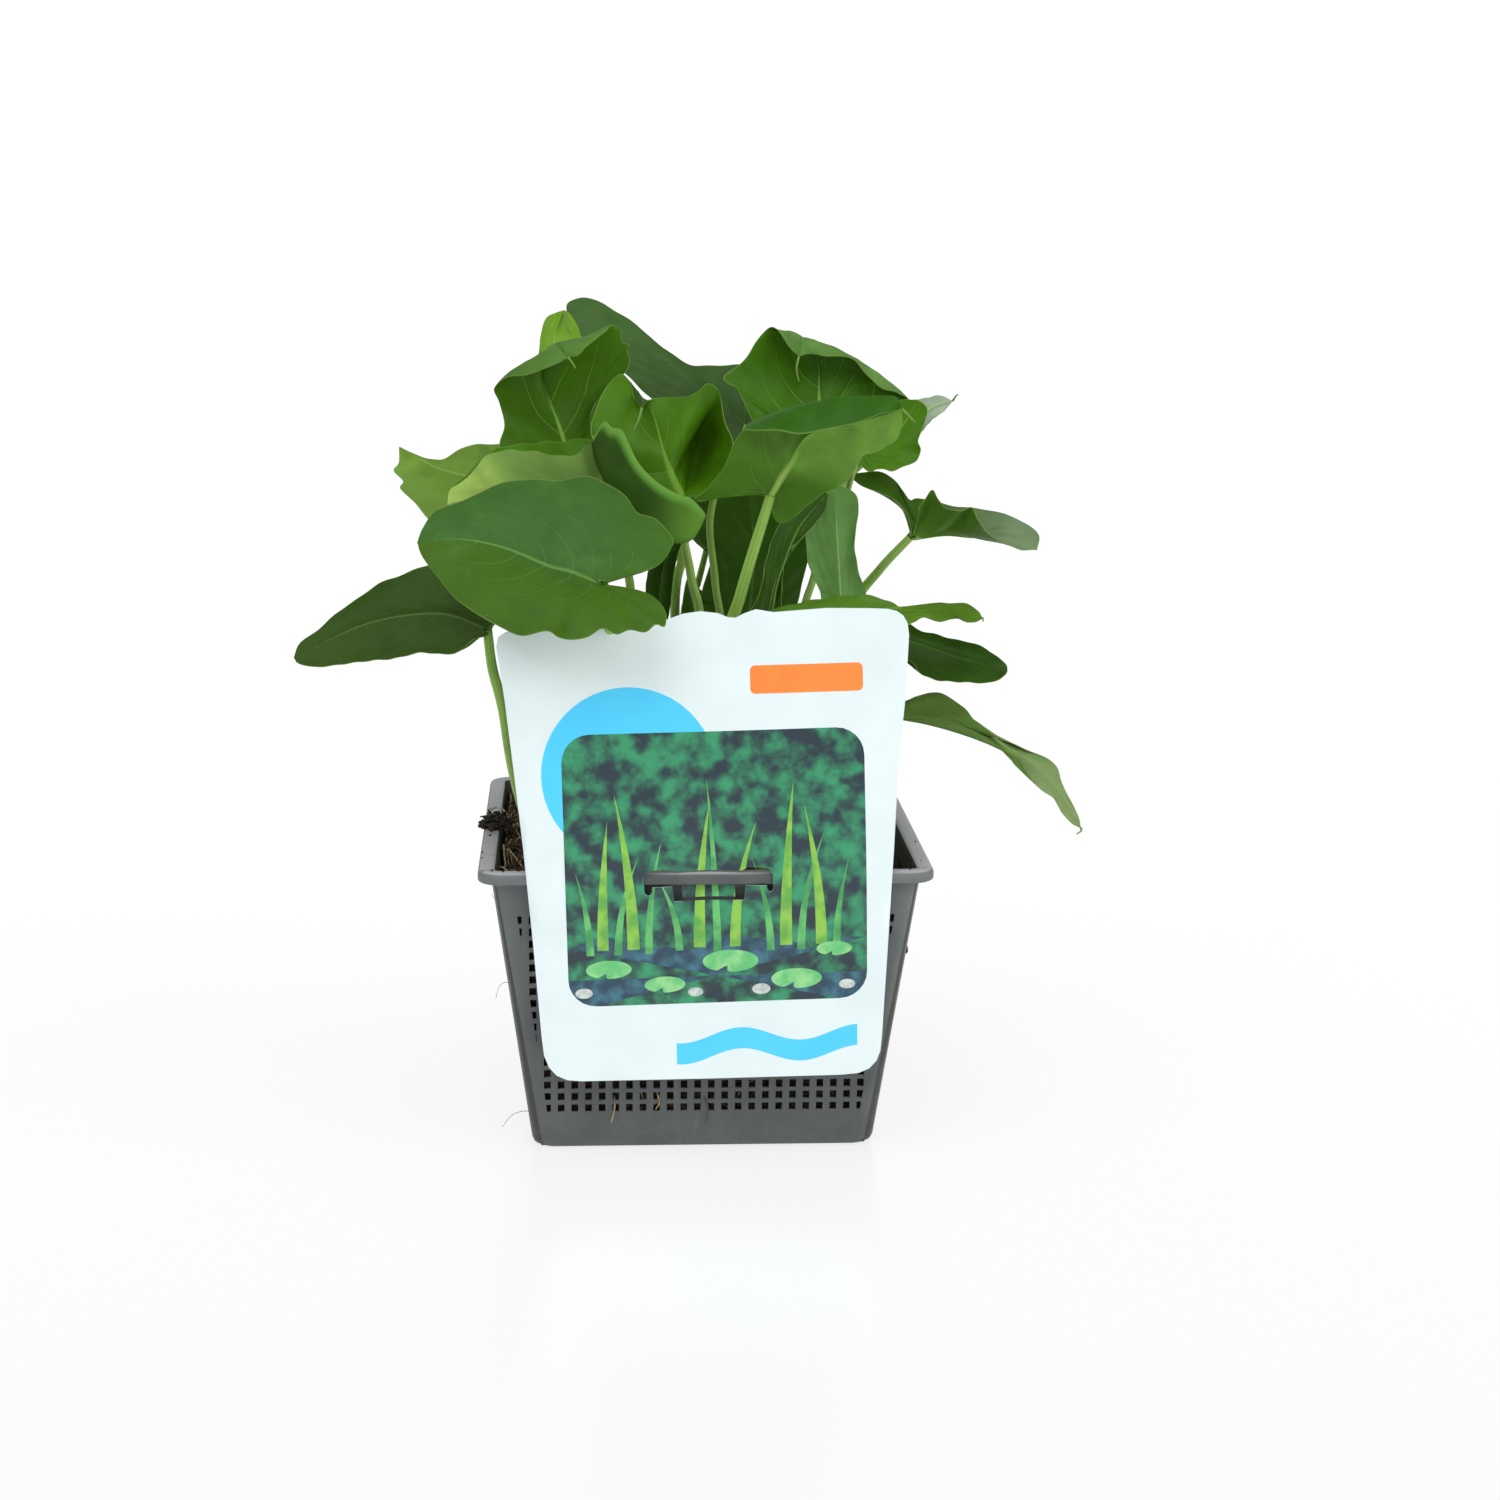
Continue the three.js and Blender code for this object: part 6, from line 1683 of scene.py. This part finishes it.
            made.append((Ink.STONE, circle * (wide, wide * 0.62) + (x, z)))
        made.append((Ink.BAND, self.box(*self.BAND)))
        # Painted shade along the fold at the tongue's foot.
        made.append((Ink.FOLD_SHADE, np.array(self.CREASE_SHADE)))
        return made

    def reed(self, x: float, foot: float, height: float, lean: float, width: float) -> Array:
        """Outline of one reed: spine +- width (1 - rise^1.6) / 2, where the spine is lean x rise^2.

        Args:
            x: Place of its foot.
            foot: Height of its foot.
            height: How high it rises.
            lean: How far its tip is to the right of its foot.
            width: Width at the foot.

        Returns:
            Points round it.
        """
        rise = np.linspace(0.0, 1.0, 16)
        spine = np.stack((x + lean * rise**2, foot + height * rise), -1)
        half = 0.5 * width * (1.0 - rise**1.6) + 0.02
        edges = np.stack((half, np.zeros_like(half)), -1)
        return np.concatenate((spine + edges, (spine - edges)[::-1]))

    def box(self, left: float, right: float, low: float, high: float, corner: float) -> Array:
        """Outline of a rectangle with rounded corners: centre + corner (cos spin, sin spin) at each.

        Args:
            left: Its left edge.
            right: Its right edge.
            low: Its lower edge.
            high: Its upper edge.
            corner: Radius of its corners.

        Returns:
            Points round it, from the top towards the left.
        """
        angle = np.linspace(math.pi / 2, math.pi, 7)
        bends = []
        for x, z, turn in ((left + corner, high - corner, 0), (left + corner, low + corner, 1),
                           (right - corner, low + corner, 2), (right - corner, high - corner, 3)):
            spin = angle + turn * math.pi / 2
            bends.append(np.stack((x + corner * np.cos(spin), z + corner * np.sin(spin)), -1))
        return np.concatenate(bends)

    def inside(self, points: Array, outline: Array) -> Array:
        """Which points lie inside an outline: those whose level line crosses it an odd number of times.

        Args:
            points: Flat points, shape (count, 2).
            outline: Corners of the outline, in order.

        Returns:
            True for each point inside.
        """
        start, end = outline, np.roll(outline, -1, axis=0)
        x, z = points[:, :1], points[:, 1:]
        spans = (start[:, 1] > z) != (end[:, 1] > z)
        across, up = (end - start).T
        slope = across / np.where(up == 0.0, 1e-9, up)
        return ((spans & (x < start[:, 0] + slope * (z - start[:, 1]))).sum(axis=1) % 2) == 1

    def build(self) -> Piece:
        """Cuts the flat card into triangles along every outline, inks them and bends both faces.

        Returns:
            The piece.
        """
        outline, slot = np.array(self.OUTLINE), np.array(self.SLOT)
        shapes = self.shapes()
        across, up = np.arange(-78.0, 79.0, self.mesh_step), np.arange(36.0, 222.0, self.mesh_step)
        lattice = np.stack(np.meshgrid(across, up), -1).reshape(-1, 2)
        loops = [outline, slot, *(shape for _, shape in shapes)]
        corners, edges, start = [], [], 0
        for loop in loops:
            ids = np.arange(len(loop)) + start
            edges.append(np.stack((ids, np.roll(ids, -1)), -1))
            corners.append(loop)
            start += len(loop)
        corners.append(lattice)
        flat = [Vector(point) for point in np.concatenate(corners).tolist()]
        found = delaunay_2d_cdt(flat, np.concatenate(edges).tolist(), [], 0, 1e-4)
        points = np.array([tuple(point) for point in found[0]])
        faces = np.array([face for face in found[2]])
        middle = points[faces].mean(axis=1)
        faces = faces[self.inside(middle, outline) & ~self.inside(middle, slot)]
        middle = points[faces].mean(axis=1)
        inks = np.full(len(faces), list(Ink).index(Ink.PAPER))
        for finish, shape in shapes:
            inks[self.inside(middle, shape)] = list(Ink).index(finish)
        shell = Shell()
        front = self.front(points)
        fore = shell.spread(front[None], points[None] / 200.0)[0]
        rear = shell.spread((front + (0.0, self.thickness, 0.0))[None], points[None] / 200.0)[0]
        shell.cover(np.concatenate((fore[faces], fore[faces[:, 2:]]), axis=1), inks)
        shell.cover(np.concatenate((rear[faces], rear[faces[:, 2:]]), axis=1), list(Ink).index(Ink.BACK))
        sides = np.concatenate((faces[:, [0, 1]], faces[:, [1, 2]], faces[:, [2, 0]]))
        _, where, times = np.unique(np.sort(sides, axis=1), axis=0, return_index=True, return_counts=True)
        rim = sides[where[times == 1]]
        shell.cover(np.concatenate((fore[rim], rear[rim[:, ::-1]]), axis=1))
        finishes = [finish.value.material() for finish in Ink]
        return shell.build("plant_card", finishes, "card", "card", crease=60.0)


@dataclass
class Studio:
    """Pale floor, white surroundings, soft lights and the camera at the photograph's place."""

    camera_place: Point = (-49.3, -1146.5, 390.2)
    yaw: float = math.radians(3.54)
    pitch: float = math.radians(11.79)
    roll: float = math.radians(0.56)
    lens: float = 66.92
    surround: float = 0.5
    floor_glow: float = 0.76
    top_power: float = 1.45
    side_power: float = 1.3
    spread: float = math.radians(55.0)
    sensor: float = 36.0
    far: float = 20.0
    floor_reach: float = 6.0

    def camera(self) -> None:
        """Places the camera from its yaw to the right, pitch down and roll."""
        level = math.cos(self.pitch)
        ahead = Vector((math.sin(self.yaw) * level, math.cos(self.yaw) * level, -math.sin(self.pitch)))
        right = Vector((math.cos(self.yaw), -math.sin(self.yaw), 0.0))
        up = right.cross(ahead)
        across = math.cos(self.roll) * right + math.sin(self.roll) * up
        over = math.cos(self.roll) * up - math.sin(self.roll) * right
        data = bpy.data.cameras.new("camera")
        data.lens, data.sensor_width, data.clip_end = self.lens, self.sensor, self.far
        camera = put("camera", data)
        axes = Matrix((across, over, -ahead)).transposed().to_4x4()
        camera.matrix_world = Matrix.Translation(Vector(self.camera_place) * MM) @ axes
        bpy.context.scene.camera = camera

    def light(self, name: str, way: Point, power: float) -> None:
        """Adds a wide soft light that shines the same way everywhere.

        Args:
            name: Its name.
            way: Direction that it comes from.
            power: Its power in watts for each square metre.
        """
        data = bpy.data.lights.new(name, "SUN")
        data.angle, data.energy = self.spread, power
        put(name, data).rotation_euler = Vector(way).to_track_quat("Z", "Y").to_euler()

    def floor(self) -> None:
        """Wide pale floor."""
        mesh = bpy.data.meshes.new("floor")
        far = self.floor_reach
        corners = [(-far, -far, 0), (far, -far, 0), (far, far, 0), (-far, far, 0)]
        mesh.from_pydata(corners, [], [(0, 1, 2, 3)])
        graph = Graph("floor_white", 0.3)
        graph.shader.inputs["Emission Color"].default_value = (1.0, 1.0, 1.0, 1.0)
        graph.shader.inputs["Emission Strength"].default_value = self.floor_glow
        colour = graph.over(ink((116, 116, 116)), (graph.noise(300.0, 2.0), (113, 113, 113), 1.0))
        mesh.materials.append(graph.done(colour))
        put("floor", mesh)

    def surroundings(self) -> None:
        """White all round: full white to the camera and a softer white as light."""
        world = bpy.data.worlds.new("surround")
        world.use_nodes = True
        tree = world.node_tree
        background = tree.nodes["Background"]
        background.inputs["Color"].default_value = (1.0, 1.0, 1.0, 1.0)
        path = tree.nodes.new("ShaderNodeLightPath")
        grade = tree.nodes.new("ShaderNodeMapRange")
        grade.inputs[3].default_value, grade.inputs[4].default_value = self.surround, 1.05
        tree.links.new(path.outputs["Is Camera Ray"], grade.inputs[0])
        tree.links.new(grade.outputs[0], background.inputs["Strength"])
        bpy.context.scene.world = world

    def build(self) -> None:
        """Sets up the whole studio."""
        self.camera()
        self.floor()
        self.surroundings()
        self.light("top_soft", (-0.35, -0.6, 1.0), self.top_power)
        self.light("side_soft", (1.0, -0.5, 0.55), self.side_power)
        bpy.context.scene.view_settings.view_transform = "Standard"


def main() -> None:
    """Builds the studio, then each part of the plant in turn."""
    logging.basicConfig(level=logging.INFO, format="%(name)s: %(message)s")
    Studio().build()
    basket = Basket()
    basket.build()
    soil = Soil(basket)
    soil.body()
    soil.crumbs()
    soil.fibres()
    for leaf in LEAVES:
        leaf.blade()
        leaf.stem(soil.level)
    Card().build()


if __name__ == "__main__":
    main()
